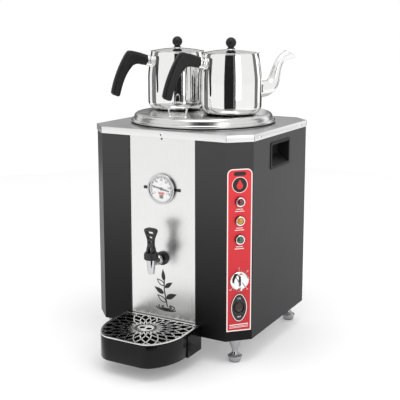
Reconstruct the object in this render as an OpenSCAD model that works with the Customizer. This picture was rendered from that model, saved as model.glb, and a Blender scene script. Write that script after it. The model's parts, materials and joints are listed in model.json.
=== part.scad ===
// Hot water urn with a tap, a drip tray and two teapots standing on its tank lid.
// Millimetres. The origin is on the floor under the middle of the cabinet,
// +Z is up, the tap looks towards -Y and the control strip is on the front right chamfer.

/* [Cabinet] */
// Width across the two side covers
cab_w = 396; // [386:1:420]
// Depth from the front strips to the rear flanges
cab_d = 372; // [366:1:400]
// Height of the cabinet box, from its underside to the top plate's upper face
cab_h = 445; // [435:1:480]
// Leg of the 45 degree chamfer at each vertical corner
chamfer = 42.5; // [41:0.5:46]
// Height of the cabinet's underside above the floor
ground_gap = 55; // [48:1:70]
// Thickness of the painted cover sheets
cover_t = 1.2; // [0.8:0.1:1.8]
// Thickness of the stainless sheets
steel_t = 1; // [0.8:0.1:1.4]
// Width of the stainless front panel that shows between the covers
panel_show_w = 164; // [150:1:176]
// Width of the rear panel that shows between the covers
rear_show_w = 260; // [240:1:280]
// Overlap of a panel behind each cover edge
panel_lap = 10; // [6:0.5:14]
// Height of the folded lip round the top plate
lip_h = 14.5; // [12:0.5:20]
// Clearance between the lip and the covers
lip_gap = 0.3; // [0.1:0.1:0.6]
// Clearance round the base pan, inside the panels
pan_gap = 0.3; // [0.1:0.1:1]
// Height of the base pan's upturned flange
pan_flange_h = 15; // [10:1:22]
// Width of each square corner post
post_w = 15; // [12:1:18]
// Distance of each corner post's middle from the cabinet's middle plane, front to back
post_y = 118; // [110:1:122]

/* [Hand grips] */
// Length of each grip's pocket
grip_w = 92; // [80:1:105]
// Height of each grip's pocket
grip_h = 47; // [42:1:56]
// Depth of each grip's pocket
grip_depth = 24; // [18:1:30]
// Rise of the pocket's sloped floor from the mouth to the back
grip_rise = 17; // [10:1:20]
// Wall of the moulded grip
grip_t = 1.8; // [1.2:0.1:2.5]
// Width of the rim that lies on the cover
grip_rim = 4.5; // [3:0.5:7]
// Thickness of that rim
grip_rim_t = 1.6; // [1:0.1:2.5]
// Distance of the grips' middle in front of the cabinet's middle plane
grip_front = 7.5; // [0:0.5:15]
// Distance of the grips' middle below the top plate
grip_drop = 57.5; // [50:0.5:70]

/* [Feet] */
// Distance of each foot's middle from the cabinet's side
foot_side = 38; // [35:1:48]
// Distance of each foot's middle from the cabinet's front or back
foot_front = 38; // [35:1:46]
// Radius of the foot where it meets the cabinet
foot_top_r = 14.5; // [13:0.5:16]
// Radius of the foot's waist
foot_waist_r = 6.3; // [5.5:0.1:8]
// Radius of the foot's flare
foot_flare_r = 15.8; // [14:0.1:18]
// Radius of the rubber pad
foot_pad_r = 11.5; // [9:0.5:13]
// Thickness of the rubber pad
foot_pad_t = 2; // [1.5:0.5:4]
// Radius of the foot's stud
foot_stud_r = 4; // [3:0.5:5]
// Length of the stud above the base pan
foot_stud_h = 12; // [10:1:16]

/* [Tank] */
// Outer radius of the tank
tank_r = 150; // [144:1:152]
// Sheet thickness of the tank
tank_t = 1.2; // [1:0.1:1.6]
// Depth of the tank below the top plate
tank_depth = 370; // [350:1:375]
// Width of the rim that rests on the top plate
tank_rim_w = 14; // [12:0.5:16]
// Clearance round the tank in the top plate
tank_gap = 0.5; // [0.3:0.1:1.5]
// Thickness of the insulation jacket
jacket_t = 12; // [8:1:14]
// Clearance of the jacket round the grips and the thermometer
jacket_gap = 3; // [2:0.5:8]
// Height of the jacket
jacket_h = 300; // [260:5:310]
// Distance of the jacket's upper edge below the top plate
jacket_drop = 30; // [20:1:40]
// Thickness of the lid seal
seal_t = 1.5; // [1:0.1:2.5]
// Amount that the seal stands out past the tank's rim
seal_proud = 2.5; // [1:0.5:4]

/* [Tank lid] */
// Amount that the lid's rolled edge stands out past the seal
lid_proud = 0.5; // [0.3:0.1:3.5]
// Radius of the rolled edge's section
curl_r = 4; // [3.5:0.1:4.5]
// Sheet thickness of the lid
lid_t = 1.2; // [1:0.1:1.5]
// Height of the lid's plate above the top of its rolled edge
lid_rise = 13; // [11:0.5:15]
// Outer radius of the rounded shoulder between them
lid_shoulder_r = 10; // [8:0.5:11]
// Length of the locating skirt below the plate
skirt_h = 34; // [30:1:38]
// Clearance between the skirt and the tank
skirt_gap = 1; // [0.5:0.1:2]
// Vertical gap kept under everything that lifts off
seat_gap = 0.3; // [0.2:0.1:0.5]
// Radius of each steam vent under the teapots
vent_r = 3; // [2:0.5:4]
// Radius of the ring of steam vents
vent_ring_r = 26; // [20:1:32]
// Number of steam vents under each teapot
vent_n = 8; // [4:1:12]
// Distance of the lifting handle from the lid's centre
lid_handle_out = 124.5; // [122:0.5:128]
// Turn of the lifting handle from the cabinet's width
lid_handle_turn = 15.6; // [0:0.1:30]
// Radius of the lifting handle's wire
lid_wire_r = 2.5; // [2:0.1:3]
// Radius of the lifting handle's arch
lid_arch_r = 20; // [16:0.5:22]
// Height of the straight legs below the arch
lid_leg_h = 11.5; // [8:0.5:16]

/* [Teapots] */
// Distance between the two teapots' axes
pot_spacing = 162; // [160:1:172]
// Turn of the line through both teapots, clockwise from +X
pot_line_turn = 12; // [5:0.1:18]
// Direction of the spouts, anticlockwise from +X
spout_turn = 54; // [48:1:60]
// Largest radius of a teapot's body
pot_r = 69.5; // [67:0.5:71]
// Radius of the body at its mouth
pot_rim_r = 61.5; // [60:0.5:64]
// Height of the body
pot_h = 136; // [133:0.5:140]
// Radius of the body's rounded lower edge
pot_round_r = 21; // [16:0.5:24]
// Sheet thickness of the teapots
pot_t = 1.2; // [1:0.1:1.6]
// Height where the body starts to draw in
pot_straight_h = 78; // [60:1:90]
// Height of the lid's dome
dome_h = 6.5; // [5:0.5:10]
// Amount that the lid's flange stands out past the mouth
flange_proud = 2.2; // [1.5:0.1:3]
// Depth of the lid's skirt inside the mouth
pot_skirt_h = 4; // [3:0.5:12]
// Radius of the lid's knob
knob_ball_r = 11.8; // [10:0.1:13]
// Radius of the ferrule that carries the handle
ferrule_r = 9.3; // [8.5:0.1:10]
// Upward tilt of the ferrule
ferrule_tilt = 12; // [8:1:15]
// Height of the ferrule above the pot's base, where it leaves the body
ferrule_h = 114; // [112:0.5:116]
// Thickness of the moulded handle
handle_t = 17; // [14:0.5:19]

/* [Tap] */
// Height of the tap's horizontal neck above the floor
tap_z = 219; // [212:1:226]
// Distance of the tap's upright barrel in front of the covers
tap_reach = 46; // [42:1:52]
// Radius of the neck and its shank
tap_neck_r = 8.5; // [8:0.1:9]
// Radius of the upright barrel
tap_barrel_r = 10.3; // [10:0.1:11]
// Radius of the nozzle's tip
nozzle_tip_r = 7; // [6.5:0.1:8]
// Distance of the nozzle's tip below the neck
nozzle_drop = 23; // [20:0.5:28]
// Radius of the water way through the neck
tap_bore_r = 5.5; // [5:0.1:6]
// Radius of the spring chamber in the barrel
chamber_r = 7; // [6.5:0.1:7.5]
// Radius of the outlet through the nozzle
outlet_r = 4.3; // [3.5:0.1:4.5]
// Radius of the bonnet collar
collar_r = 15.5; // [14.5:0.1:17]
// Height of the bonnet collar
collar_h = 15; // [13:0.5:18]
// Radius of the escutcheon on the front panel
escutcheon_r = 15.5; // [14.5:0.5:18]
// Thickness of the escutcheon
escutcheon_t = 7; // [5:0.5:9]
// Radius of the valve stem
stem_r = 2.5; // [2:0.1:2.6]
// Lift of the stem when the lever is down
stem_lift = 4; // [3:0.5:4.5]
// Radius of the lever's pivot pin
pin_r = 1.2; // [1:0.1:1.4]
// Distance of the lever's heel and toe from its pivot, front to back
lever_toe = 8.5; // [8.5:0.1:9.5]
// Height of the pivot above the lever's flat foot
lever_foot_h = 6.5; // [6:0.1:7]
// Width of the lever's foot
lever_foot_w = 16; // [15:0.5:18]
// Width of the lever's waist
lever_waist_w = 14.7; // [13:0.1:16]
// Width of the lever's paddle
lever_top_w = 30; // [26:0.5:34]
// Thickness of the lever
lever_t = 9.5; // [8:0.5:11]
// Height of the lever above its pivot
lever_h = 47; // [42:1:54]

/* [Thermometer] */
// Height of the thermometer's middle above the floor
dial_z = 374; // [365:1:390]
// Radius of the bezel
bezel_r = 33.5; // [32.5:0.5:36]
// Radius of the dial's face
dial_r = 30.5; // [29.5:0.1:31]
// Depth of the bezel in front of its clip
bezel_depth = 5.6; // [5.2:0.1:7]
// Depth of the case behind the front panel
case_depth = 15; // [12:0.5:18]
// Length of the black clip bar from tip to tip
clip_w = 92; // [84:1:100]
// Height of the clip bar
clip_h = 6.5; // [5:0.5:9]
// Thickness of the clip
clip_t = 2; // [1.5:0.1:3]
// Length of the needle in front of its hub
needle_len = 24; // [20:0.5:26]
// Turn of the needle at rest, anticlockwise from twelve o'clock
needle_rest = 78; // [60:1:90]

/* [Control strip] */
// Width of the red fascia
fascia_w = 55.5; // [50:0.5:56]
// Height of the red fascia
fascia_h = 353; // [348:1:370]
// Distance of the fascia's lower edge above the cabinet's underside
fascia_rise = 22; // [16:1:30]
// Thickness of the fascia
fascia_t = 0.8; // [0.5:0.1:1.5]
// Radius of the fascia's upper corners
fascia_corner_r = 12; // [8:0.5:16]
// Height of the lowest lamp above the floor
lamp_z = 279.5; // [272:0.5:285]
// Distance between the lamps
lamp_pitch = 40.4; // [36:0.2:44]
// Radius of each lamp's bezel ring
lamp_r = 10.25; // [9.5:0.05:11.5]
// Amount that each lamp stands out from the fascia
lamp_proud = 6.5; // [5:0.5:9]
// Radius of each lens
lens_r = 7.3; // [6.5:0.1:7.8]
// Radius of each lamp's barrel in the panel
lamp_barrel_r = 8.3; // [8:0.1:9]
// Height of the thermostat knob above the floor
knob_z = 189; // [184:1:194]
// Radius of the thermostat knob
knob_r = 20.3; // [18:0.1:22]
// Height of the knob's domed disc above the fascia
knob_disc_h = 8; // [7:0.5:10]
// Height of the knob's grip bar above the fascia
knob_bar_h = 19; // [16:0.5:24]
// Width of the knob's grip bar
knob_bar_w = 11; // [10:0.5:13]
// Radius of the thermostat's spindle
spindle_r = 3; // [2.5:0.1:3.5]
// Height of the switch above the floor
switch_z = 129.6; // [126:0.2:134]
// Width of the oval switch plate
oval_w = 36; // [32:0.5:40]
// Height of the oval switch plate
oval_h = 61; // [56:0.5:66]
// Thickness of the oval switch plate
oval_t = 1.6; // [1:0.1:2.5]
// Radius of the oval plate's rounded ends
oval_end_r = 11.5; // [10:0.5:14]
// Radius of the round rocker
rocker_r = 9.8; // [9:0.1:10.5]
// Tip of the rocker to either side of level
rocker_tip = 8; // [5:1:10]

/* [Drip tray] */
// Width of the tray
tray_w = 190; // [180:1:200]
// Reach of the tray from its bracket
tray_d = 153.5; // [140:0.5:165]
// Length of the tray's straight sides
tray_side_d = 66; // [62:1:70]
// Radius of the tray's curved flanks
tray_flank_r = 111; // [106:1:118]
// Radius of the tray's rounded front corners
tray_corner_r = 38; // [25:1:50]
// Height of the tray's underside above the floor
tray_z = 30; // [24:1:36]
// Height of the tray
tray_h = 50; // [44:1:56]
// Wall of the tray
tray_t = 3; // [2.5:0.1:4]
// Thickness of the grate's sheet
grate_t = 1.5; // [1.2:0.1:2.5]
// Width of the grate's solid rim
grate_rim = 5; // [4:0.5:8]
// Radius of the grate's hub
grate_hub_r = 19; // [16:0.5:22]
// Distance of the grate's hub in front of the tray's back
grate_hub_y = 69; // [58:1:74]
// Radius of the grate's curved bars, which all start at its hub
grate_curve_r = 75; // [65:1:85]
// Width of the grate's bars
grate_bar = 2; // [1.6:0.1:2.6]
// Number of circles that the curved bars are parts of
grate_curves = 22; // [12:2:28]
// Sheet thickness of the tray's bracket
bracket_t = 2; // [1.5:0.1:2.5]
// Reach of the bracket's cheeks from the cabinet
bracket_d = 58; // [45:1:62]

/* [Rear] */
// Height of the drain pipe's axis above the floor
drain_z = 100; // [92:1:108]
// Distance of the drain pipe to the left of the middle plane
drain_x = 60; // [40:1:80]
// Outer radius of the drain pipe
drain_r = 8; // [7:0.1:9]
// Inner radius of the drain pipe
drain_bore_r = 6; // [4.5:0.1:6.4]
// Distance of the cable gland to the right of the middle plane
gland_x = 90; // [60:1:100]
// Height of the cable gland above the floor
gland_z = 100; // [90:1:110]
// Radius of the gland's cable way
gland_bore_r = 5; // [4:0.1:6]
// Number of louvre slots in the rear panel
louvre_n = 9; // [5:1:11]

/* [Hidden] */
$fn = 96;

// Clearances
run_gap = 0.06;      // shaft or pin that turns in its hole, on the radius
fix_gap = 0.02;      // pin or bush held in its hole, on the radius
thread_gap = 0.1;    // screw, stud or nut, on the radius
fit_gap = 0.3;       // part that drops or clips into a cut-out, each side
eps = 0.5;           // how far a cutting shape runs past the face that it cuts

// Levels and faces of the cabinet
z_under = ground_gap;
z_top = ground_gap + cab_h;
z_pan = z_under + cover_t;
z_roof = z_top - steel_t;
y_front = -cab_d / 2;
y_panel = y_front + cover_t;
y_panel_in = y_panel + steel_t;
y_rear = cab_d / 2;
y_rear_panel = y_rear - cover_t;
pan_inset = cover_t + steel_t + pan_gap;
lip_out = lip_gap + steel_t;
foot_x = cab_w / 2 - foot_side;
foot_y = cab_d / 2 - foot_front;
post_x = cab_w / 2 - pan_inset - cover_t - post_w / 2;
strip_w = chamfer * sqrt(2);

// Lip screws
screw_r = 1.75;
screw_head_r = 3.6;
screw_head_h = 2;
screw_len = 4.8;
screw_drop = 8;
screw_z = z_top - screw_drop;
lip_screw_y = [-116, 104];
rivet_r = 1.8;
rivet_z = z_top - lip_h - 3;

// Tank, seal and lid
tank_in_r = tank_r - tank_t;
tank_rim_r = tank_r + tank_rim_w;
z_tank = z_top - tank_depth;
z_seal = z_top + tank_t;
z_lid = z_seal + seal_t + seat_gap;
lid_r = tank_rim_r + seal_proud + lid_proud;
curl_c_r = lid_r - curl_r;
lid_handle_at = -88;
z_curl = z_lid + curl_r;
z_seat = z_curl + curl_r + lid_rise;
jacket_r = tank_r + fit_gap;
z_jacket = z_top - jacket_drop - jacket_h;

// Heating element
element_r = 4.2;
element_ring_r = 92;
element_rise = 26;
element_half_gap = 15;
element_flange_r = 38;
element_flange_t = 5;
element_tail = 14;
element_x = -element_ring_r * cos(element_half_gap);
element_y = element_ring_r * sin(element_half_gap);

// Teapots
pot_z = z_seat + seat_gap;
pot_draw = 1.35;
pot_steps = 14;
ferrule_in = -10;
ferrule_out = 13;
flange_t = 1.2;
pot_skirt_gap = 0.6;
knob_foot_r = 9.5;
knob_foot_h = 5.2;
handle_tenon_r = 5.5;
handle_tenon_len = 8;

// Handle outline in the plane of the handle: distance from the pot's axis, height above its base
handle_outline = [
    [74, 124.5], [86, 132], [97, 135.5], [112, 138.5], [119, 140], [124, 139], [128, 135],
    [136, 123], [146, 103.5], [155, 82], [161.5, 62], [166, 44], [164, 41],
    [149, 35], [145, 37.5], [141, 53], [135, 70], [127.5, 86],
    [118, 100], [112, 106], [106, 108.5], [95, 107.5], [78, 103.5]
];

// Spout: centre line as distance from the pot's axis and height above its base, with its outer radius
spout_line = [
    [60, 53, 19.5], [70, 53.2, 19.5], [80, 53.6, 19.2], [90, 54.8, 18.4], [98.5, 58, 17.1],
    [105, 63.5, 15.5], [109.5, 71, 14], [112.6, 79.5, 12.8], [115.3, 89, 11.6], [118.4, 99.5, 10.4],
    [122, 109, 9.6], [127.5, 117.5, 9.3], [135, 124.3, 9.8], [144, 129.2, 10.8], [152, 132, 11.8], [160, 134.5, 12.4]
];
spout_lip = [138.9, 138.9];
spout_lip_turn = 30.9;

// Tap
tap_y = y_front - tap_reach;
z_nozzle = tap_z - nozzle_drop;
z_cone = tap_z + 6;
z_collar = tap_z + tap_neck_r + 0.7;
z_collar_top = z_collar + collar_h;
z_barrel = z_collar_top - 3;
z_pivot = z_collar_top + lever_foot_h + seat_gap;
z_valve_seat = tap_z - 7;
seal_disc_t = 2.5;
seal_disc_r = chamber_r - 0.8;
z_stem_top = z_pivot + stem_r;
shank_in_y = -tank_in_r + 9;
tap_nut_r = 13.5;
tap_nut_t = 6;
spring_r = 4.6;
spring_wire_r = 0.5;
spring_turns = 6;
spring_steps = 12;

// Thermometer
case_r = dial_r + 0.6;
well_r = 4;
bezel_t = 1.6;
glass_t = 1.2;
dial_t = 0.6;
needle_t = 0.5;
needle_pin_r = 0.8;

// Control strip, measured along its outward normal from the chamfer's face
lamp_depth = 26;
bush_r = 5;
thermostat_w = 34;
thermostat_d = 24;
bulb_r = 3.2;
bulb_len = 55;
capillary_r = 1.2;
bezel_cut_r = rocker_r + 0.9;
rocker_depth = 9;
rocker_sink = 2;
trunnion_r = 1.2;
switch_body_r = rocker_r + 2.6;
switch_depth = 24;

// Drip tray
tray_play = 0.3;
y_tray = y_front - bracket_t - tray_play;
z_tray_top = tray_z + tray_h;
z_grate = z_tray_top + tray_play;
grate_skirt_h = 4;
grate_skirt_t = 1;
bracket_top = tray_z + tray_h - 4;
bracket_half = tray_w / 2 + tray_play + bracket_t;
bracket_screw_x = 55;
bracket_screw_z = z_under + pan_flange_h / 2;
bracket_screw_len = cover_t + steel_t + pan_gap + cover_t + bracket_t + 2;

// Rear
louvre_w = 110;
louvre_h = 4;
louvre_pitch = 11;
louvre_rise = 230;
louvre_z = z_under + louvre_rise;
gland_hex_r = 13;
gland_hex_t = 6;
gland_dome = 14;
gland_in = 12;
gland_tube_r = gland_bore_r + 2.5;
drain_out = 16;
drain_cap_r = 12;
drain_cap_t = 3;

// ---------- shared shapes ----------

function octagon(w, d, c) = [
    [c - w / 2, -d / 2], [w / 2 - c, -d / 2], [w / 2, c - d / 2], [w / 2, d / 2 - c],
    [w / 2 - c, d / 2], [c - w / 2, d / 2], [-w / 2, d / 2 - c], [-w / 2, c - d / 2]
];

// Points on an arc in the plane, from angle a to angle b
function arc(cx, cy, r, a, b, n) =
    [for (i = [0:n]) [cx + r * cos(a + (b - a) * i / n), cy + r * sin(a + (b - a) * i / n)]];

// Plan of the cabinet, drawn in by t on every side
module cabinet_plan(t) {
    polygon(octagon(cab_w - 2 * t, cab_d - 2 * t, chamfer - t * (2 - sqrt(2))));
}

module rounded_rect(w, h, r) {
    square([w - 2 * r, h], center = true);
    square([w, h - 2 * r], center = true);
    for (x = [r - w / 2, w / 2 - r], y = [r - h / 2, h / 2 - r])
        translate([x, y]) circle(r);
}

// Local frames: X along the face, Y up, Z outwards
module on_front(x, z, y = y_panel) {
    translate([x, y, z]) rotate([90, 0, 0]) children();
}

module on_rear(x, z, y = y_rear_panel) {
    translate([x, y, z]) rotate([90, 0, 180]) children();
}

module on_side(y, z) {
    translate([cab_w / 2, y, z]) rotate([90, 0, 90]) children();
}

module on_strip(z) {
    translate([(cab_w - chamfer) / 2, (chamfer - cab_d) / 2, z]) rotate([90, 0, 45]) children();
}

module flip(side) {
    if (side < 0) mirror([1, 0, 0]) children();
    else children();
}

// Cylinder from z = a to z = b
module rod(r, a, b) {
    translate([0, 0, a]) cylinder(r = r, h = b - a);
}

module ring(r_out, r_in, a, b) {
    difference() {
        rod(r_out, a, b);
        rod(r_in, a - eps, b + eps);
    }
}

// Tube swept through points p, with unit vectors n and b across it and a radius at each point
module swept(p, n, b, r, sides) {
    last = len(p) - 1;
    points = [for (i = [0:last], k = [0:sides - 1])
        p[i] + r[i] * (cos(360 * k / sides) * n[i] + sin(360 * k / sides) * b[i])];
    walls = [for (i = [0:last - 1], k = [0:sides - 1])
        [i * sides + k, i * sides + (k + 1) % sides, (i + 1) * sides + (k + 1) % sides, (i + 1) * sides + k]];
    split = [for (f = walls) each [[f[0], f[1], f[2]], [f[0], f[2], f[3]]]];
    polyhedron(points, concat(split,
        [[for (k = [sides - 1:-1:0]) k]], [[for (k = [0:sides - 1]) last * sides + k]]));
}

// ---------- cabinet ----------

module lip_screw_sites(shell) {
    on_front(0, screw_z, y_front) children();
    on_rear(0, screw_z, y_rear) children();
    for (side = shell, y = lip_screw_y)
        flip(side) on_side(y, screw_z) children();
}

// Flush screw of the tray's bracket, or its hole when drawn larger by g
module countersunk(g, over) {
    rod(screw_r + g, bracket_t - bracket_screw_len, bracket_t);
    translate([0, 0, bracket_t - 1.5]) cylinder(r1 = screw_r + g, r2 = screw_r + g + 1.5, h = 1.5);
    rod(screw_r + g + (over > 0 ? 1.5 : 0), bracket_t - 0.001, bracket_t + over);
}

module screw_holes(sides) {
    lip_screw_sites(sides) rod(screw_r + thread_gap, -screw_len, lip_out + eps);
}

module side_cover(side) {
    flip(side) difference() {
        translate([0, 0, z_under]) linear_extrude(z_roof - z_under) difference() {
            cabinet_plan(0);
            cabinet_plan(cover_t);
            translate([-cab_w, -cab_d]) square([cab_w + panel_show_w / 2, cab_d]);
            translate([-cab_w, -eps]) square([cab_w + rear_show_w / 2, cab_d]);
        }
        on_side(-grip_front, z_top - grip_drop) translate([0, 0, -cover_t - eps])
            linear_extrude(cover_t + 2 * eps)
                square([grip_w + 2 * (grip_t + fit_gap), grip_h + 2 * (grip_t + fit_gap)], center = true);
        screw_holes([1]);
        if (side > 0) control_holes();
    }
}

// Holes for the controls in the front right chamfer
module control_holes() {
    for (i = [0:2])
        on_strip(lamp_z + i * lamp_pitch) rod(lamp_barrel_r + thread_gap, -cover_t - eps, fascia_t + eps);
    on_strip(knob_z) rod(bush_r + thread_gap, -cover_t - eps, fascia_t + eps);
    on_strip(switch_z) rod(switch_body_r + thread_gap, -cover_t - eps, fascia_t + eps);
}

module side_cover_left() {
    color([0.13, 0.13, 0.14]) side_cover(-1);
}

module side_cover_right() {
    color([0.13, 0.13, 0.14]) side_cover(1);
}

module front_panel() {
    color([0.8, 0.8, 0.8]) difference() {
        translate([-panel_show_w / 2 - panel_lap, y_panel, z_under])
            cube([panel_show_w + 2 * panel_lap, steel_t, z_roof - z_under]);
        on_front(0, tap_z) rod(tap_neck_r + fit_gap, -steel_t - eps, eps);
        on_front(0, dial_z) rod(case_r + fit_gap, -steel_t - eps, eps);
        on_front(0, rivet_z) rod(rivet_r + thread_gap, -steel_t - eps, eps);
        screw_holes([]);
        bracket_screw_sites() rod(screw_r + thread_gap, -bracket_screw_len, 0);
    }
}

module rear_panel() {
    color([0.13, 0.13, 0.14]) difference() {
        translate([-rear_show_w / 2 - panel_lap, y_rear_panel - steel_t, z_under])
            cube([rear_show_w + 2 * panel_lap, steel_t, z_roof - z_under]);
        for (i = [0:louvre_n - 1])
            on_rear(0, louvre_z + i * louvre_pitch) translate([0, 0, -steel_t - eps])
                linear_extrude(steel_t + 2 * eps) rounded_rect(louvre_w, louvre_h, louvre_h / 2 - 0.01);
        on_rear(-drain_x, drain_z) rod(drain_r + fit_gap, -steel_t - eps, eps);
        on_rear(gland_x, gland_z) rod(gland_tube_r + thread_gap, -steel_t - eps, eps);
        screw_holes([]);
    }
}

module top_plate() {
    color([0.72, 0.72, 0.73]) difference() {
        union() {
            translate([0, 0, z_roof]) linear_extrude(steel_t) cabinet_plan(-lip_out);
            translate([0, 0, z_top - lip_h]) linear_extrude(lip_h) difference() {
                cabinet_plan(-lip_out);
                cabinet_plan(-lip_gap);
            }
        }
        rod(tank_r + tank_gap, z_roof - eps, z_top + eps);
        screw_holes([-1, 1]);
    }
}

module base_pan() {
    color([0.45, 0.45, 0.46]) difference() {
        translate([0, 0, z_under]) linear_extrude(pan_flange_h) cabinet_plan(pan_inset);
        translate([0, 0, z_pan]) linear_extrude(pan_flange_h) cabinet_plan(pan_inset + cover_t);
        foot_sites() rod(foot_stud_r + thread_gap, z_under - eps, z_pan + eps);
        bracket_screw_sites() rod(screw_r + thread_gap, -bracket_screw_len, 0);
    }
}

module bracket_screw_sites() {
    for (x = [-bracket_screw_x, bracket_screw_x])
        on_front(x, bracket_screw_z, y_front) children();
}

module corner_posts() {
    color([0.5, 0.5, 0.52]) for (sx = [-1, 1], sy = [-1, 1])
        translate([sx * post_x, sy * post_y, z_pan]) linear_extrude(z_roof - z_pan) difference() {
            square(post_w, center = true);
            square(post_w - 2 * cover_t, center = true);
        }
}

module grip_cup(side) {
    inner_w = grip_w;
    outer_w = grip_w + 2 * grip_t;
    half = grip_h / 2;
    flip(side) on_side(-grip_front, z_top - grip_drop) difference() {
        union() {
            linear_extrude(grip_rim_t)
                rounded_rect(grip_w + 2 * (grip_t + grip_rim), grip_h + 2 * (grip_t + grip_rim), 5);
            rotate([0, -90, 0]) translate([0, 0, -outer_w / 2]) linear_extrude(outer_w) polygon([
                [eps, -half - grip_t], [-grip_depth - grip_t, grip_rise - half - grip_t],
                [-grip_depth - grip_t, half + grip_t], [eps, half + grip_t]]);
        }
        rotate([0, -90, 0]) translate([0, 0, -inner_w / 2]) linear_extrude(inner_w) polygon([
            [0, -half], [-grip_depth, grip_rise - half], [-grip_depth, half], [0, half]]);
        translate([0, 0, -0.01]) linear_extrude(grip_rim_t + eps) rounded_rect(grip_w, grip_h, 3);
    }
}

module grip_cup_left() {
    color([0.1, 0.1, 0.1]) grip_cup(-1);
}

module grip_cup_right() {
    color([0.1, 0.1, 0.1]) grip_cup(1);
}

module foot_sites() {
    for (x = [-foot_x, foot_x], y = [-foot_y, foot_y])
        translate([x, y, 0]) children();
}

module feet() {
    z_flare = foot_pad_t + 11;
    z_waist = foot_pad_t + 20;
    color([0.8, 0.8, 0.82]) foot_sites() {
        rotate_extrude() polygon([
            [0, foot_pad_t], [foot_pad_r + 1.5, foot_pad_t], [foot_pad_r + 2, foot_pad_t + 4],
            [foot_flare_r, z_flare - 3], [foot_flare_r - 0.3, z_flare], [foot_waist_r + 4, z_flare + 3.5],
            [foot_waist_r, z_waist], [foot_waist_r + 0.7, z_waist + 6],
            [foot_top_r - 2.5, z_under - 14], [foot_top_r, z_under - 6], [foot_top_r, z_under], [0, z_under]]);
        rod(foot_stud_r, z_under - eps, z_pan + foot_stud_h);
    }
}

module foot_pads() {
    color([0.06, 0.06, 0.06]) foot_sites() rod(foot_pad_r, 0, foot_pad_t);
}

// ---------- tank and lid ----------

module tank() {
    color([0.75, 0.75, 0.76]) difference() {
        union() {
            rod(tank_r, z_tank, z_top + tank_t);
            rod(tank_rim_r, z_top, z_top + tank_t);
        }
        rod(tank_in_r, z_tank + tank_t, z_top + tank_t + eps);
        on_front(0, tap_z, -tank_r) rod(tap_neck_r + thread_gap, -tank_r / 2, eps);
        on_front(0, dial_z, -tank_r) rod(well_r + thread_gap, -tank_r / 2, eps);
        rotate([90, 0, 45]) translate([0, knob_z, 0]) rod(bulb_r + thread_gap, tank_r / 2, tank_r + eps);
        for (y = [-element_y, element_y])
            translate([element_x, y, 0]) rod(element_r + thread_gap, z_tank - eps, z_tank + tank_t + eps);
        translate([-drain_x, tank_in_r / 2, 0]) rod(drain_bore_r, z_tank - eps, z_tank + tank_t + eps);
    }
}

module lid_seal() {
    color([0.05, 0.05, 0.05]) ring(tank_rim_r + seal_proud, tank_r + 2, z_seal, z_seal + seal_t);
}

module insulation() {
    color([0.85, 0.82, 0.7]) difference() {
        ring(jacket_r + jacket_t, jacket_r, z_jacket, z_jacket + jacket_h);
        on_front(0, tap_z, 0) rod(tap_neck_r + 4, tank_r / 2, cab_d);
        on_front(0, dial_z, 0) rod(well_r + 3, tank_r / 2, cab_d);
        on_front(0, dial_z) rod(case_r + jacket_gap, -steel_t - case_depth - jacket_gap, eps);
        rotate([90, 0, 45]) translate([0, knob_z, 0]) rod(bulb_r + 3, tank_r / 2, cab_d);
        for (side = [-1, 1]) flip(side) on_side(-grip_front, z_top - grip_drop) grip_room();
    }
}

// Room that the jacket leaves behind a grip
module grip_room() {
    room_w = grip_w + 2 * (grip_t + jacket_gap);
    room_h = grip_h + 2 * (grip_t + jacket_gap);
    translate([-room_w / 2, -room_h / 2, -grip_depth - grip_t - jacket_gap])
        cube([room_w, room_h, grip_depth + grip_t + jacket_gap]);
}

// Half section: rolled edge, upright wall, rounded shoulder and flat plate, all of one sheet
module lid_section() {
    wall_in = lid_r - 2 * curl_r;
    shoulder_c = wall_in + lid_t - lid_shoulder_r;
    translate([curl_c_r, z_curl]) difference() {
        circle(curl_r);
        circle(curl_r - lid_t);
        translate([-2 * curl_r, -2 * curl_r]) square(2 * curl_r);
    }
    translate([wall_in, z_curl]) square([lid_t, z_seat - lid_shoulder_r - z_curl]);
    translate([shoulder_c, z_seat - lid_shoulder_r]) intersection() {
        difference() {
            circle(lid_shoulder_r);
            circle(lid_shoulder_r - lid_t);
        }
        square(2 * lid_shoulder_r);
    }
    translate([0, z_seat - lid_t]) square([shoulder_c, lid_t]);
}

module tank_lid() {
    skirt_r = tank_in_r - skirt_gap;
    color([0.78, 0.78, 0.79]) difference() {
        union() {
            rotate_extrude() lid_section();
            ring(skirt_r, skirt_r - lid_t, z_seat - skirt_h, z_seat - lid_t / 2);
        }
        for (side = [-1, 1], i = [0:vent_n - 1])
            rotate([0, 0, -pot_line_turn]) translate([side * pot_spacing / 2, 0, 0])
                rotate([0, 0, i * 360 / vent_n]) translate([vent_ring_r, 0, 0])
                    rod(vent_r, z_seat - lid_t - eps, z_seat + eps);
    }
}

module lid_handle() {
    color([0.85, 0.85, 0.86]) translate([0, 0, z_seat]) rotate([0, 0, lid_handle_at]) translate([lid_handle_out, 0, 0])
        rotate([0, 0, lid_handle_turn - lid_handle_at]) {
            for (x = [-lid_arch_r, lid_arch_r]) translate([x, 0, 0]) {
                rod(lid_wire_r, 0, lid_leg_h);
                rod(2 * lid_wire_r, 0, 1.6);
            }
            translate([0, 0, lid_leg_h]) rotate([90, 0, 0]) rotate_extrude(angle = 180)
                translate([lid_arch_r, 0]) circle(lid_wire_r);
            translate([-lid_arch_r, -lid_wire_r, 0]) cube([2 * lid_arch_r, 2 * lid_wire_r, 1]);
        }
}

// ---------- heating ----------

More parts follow.
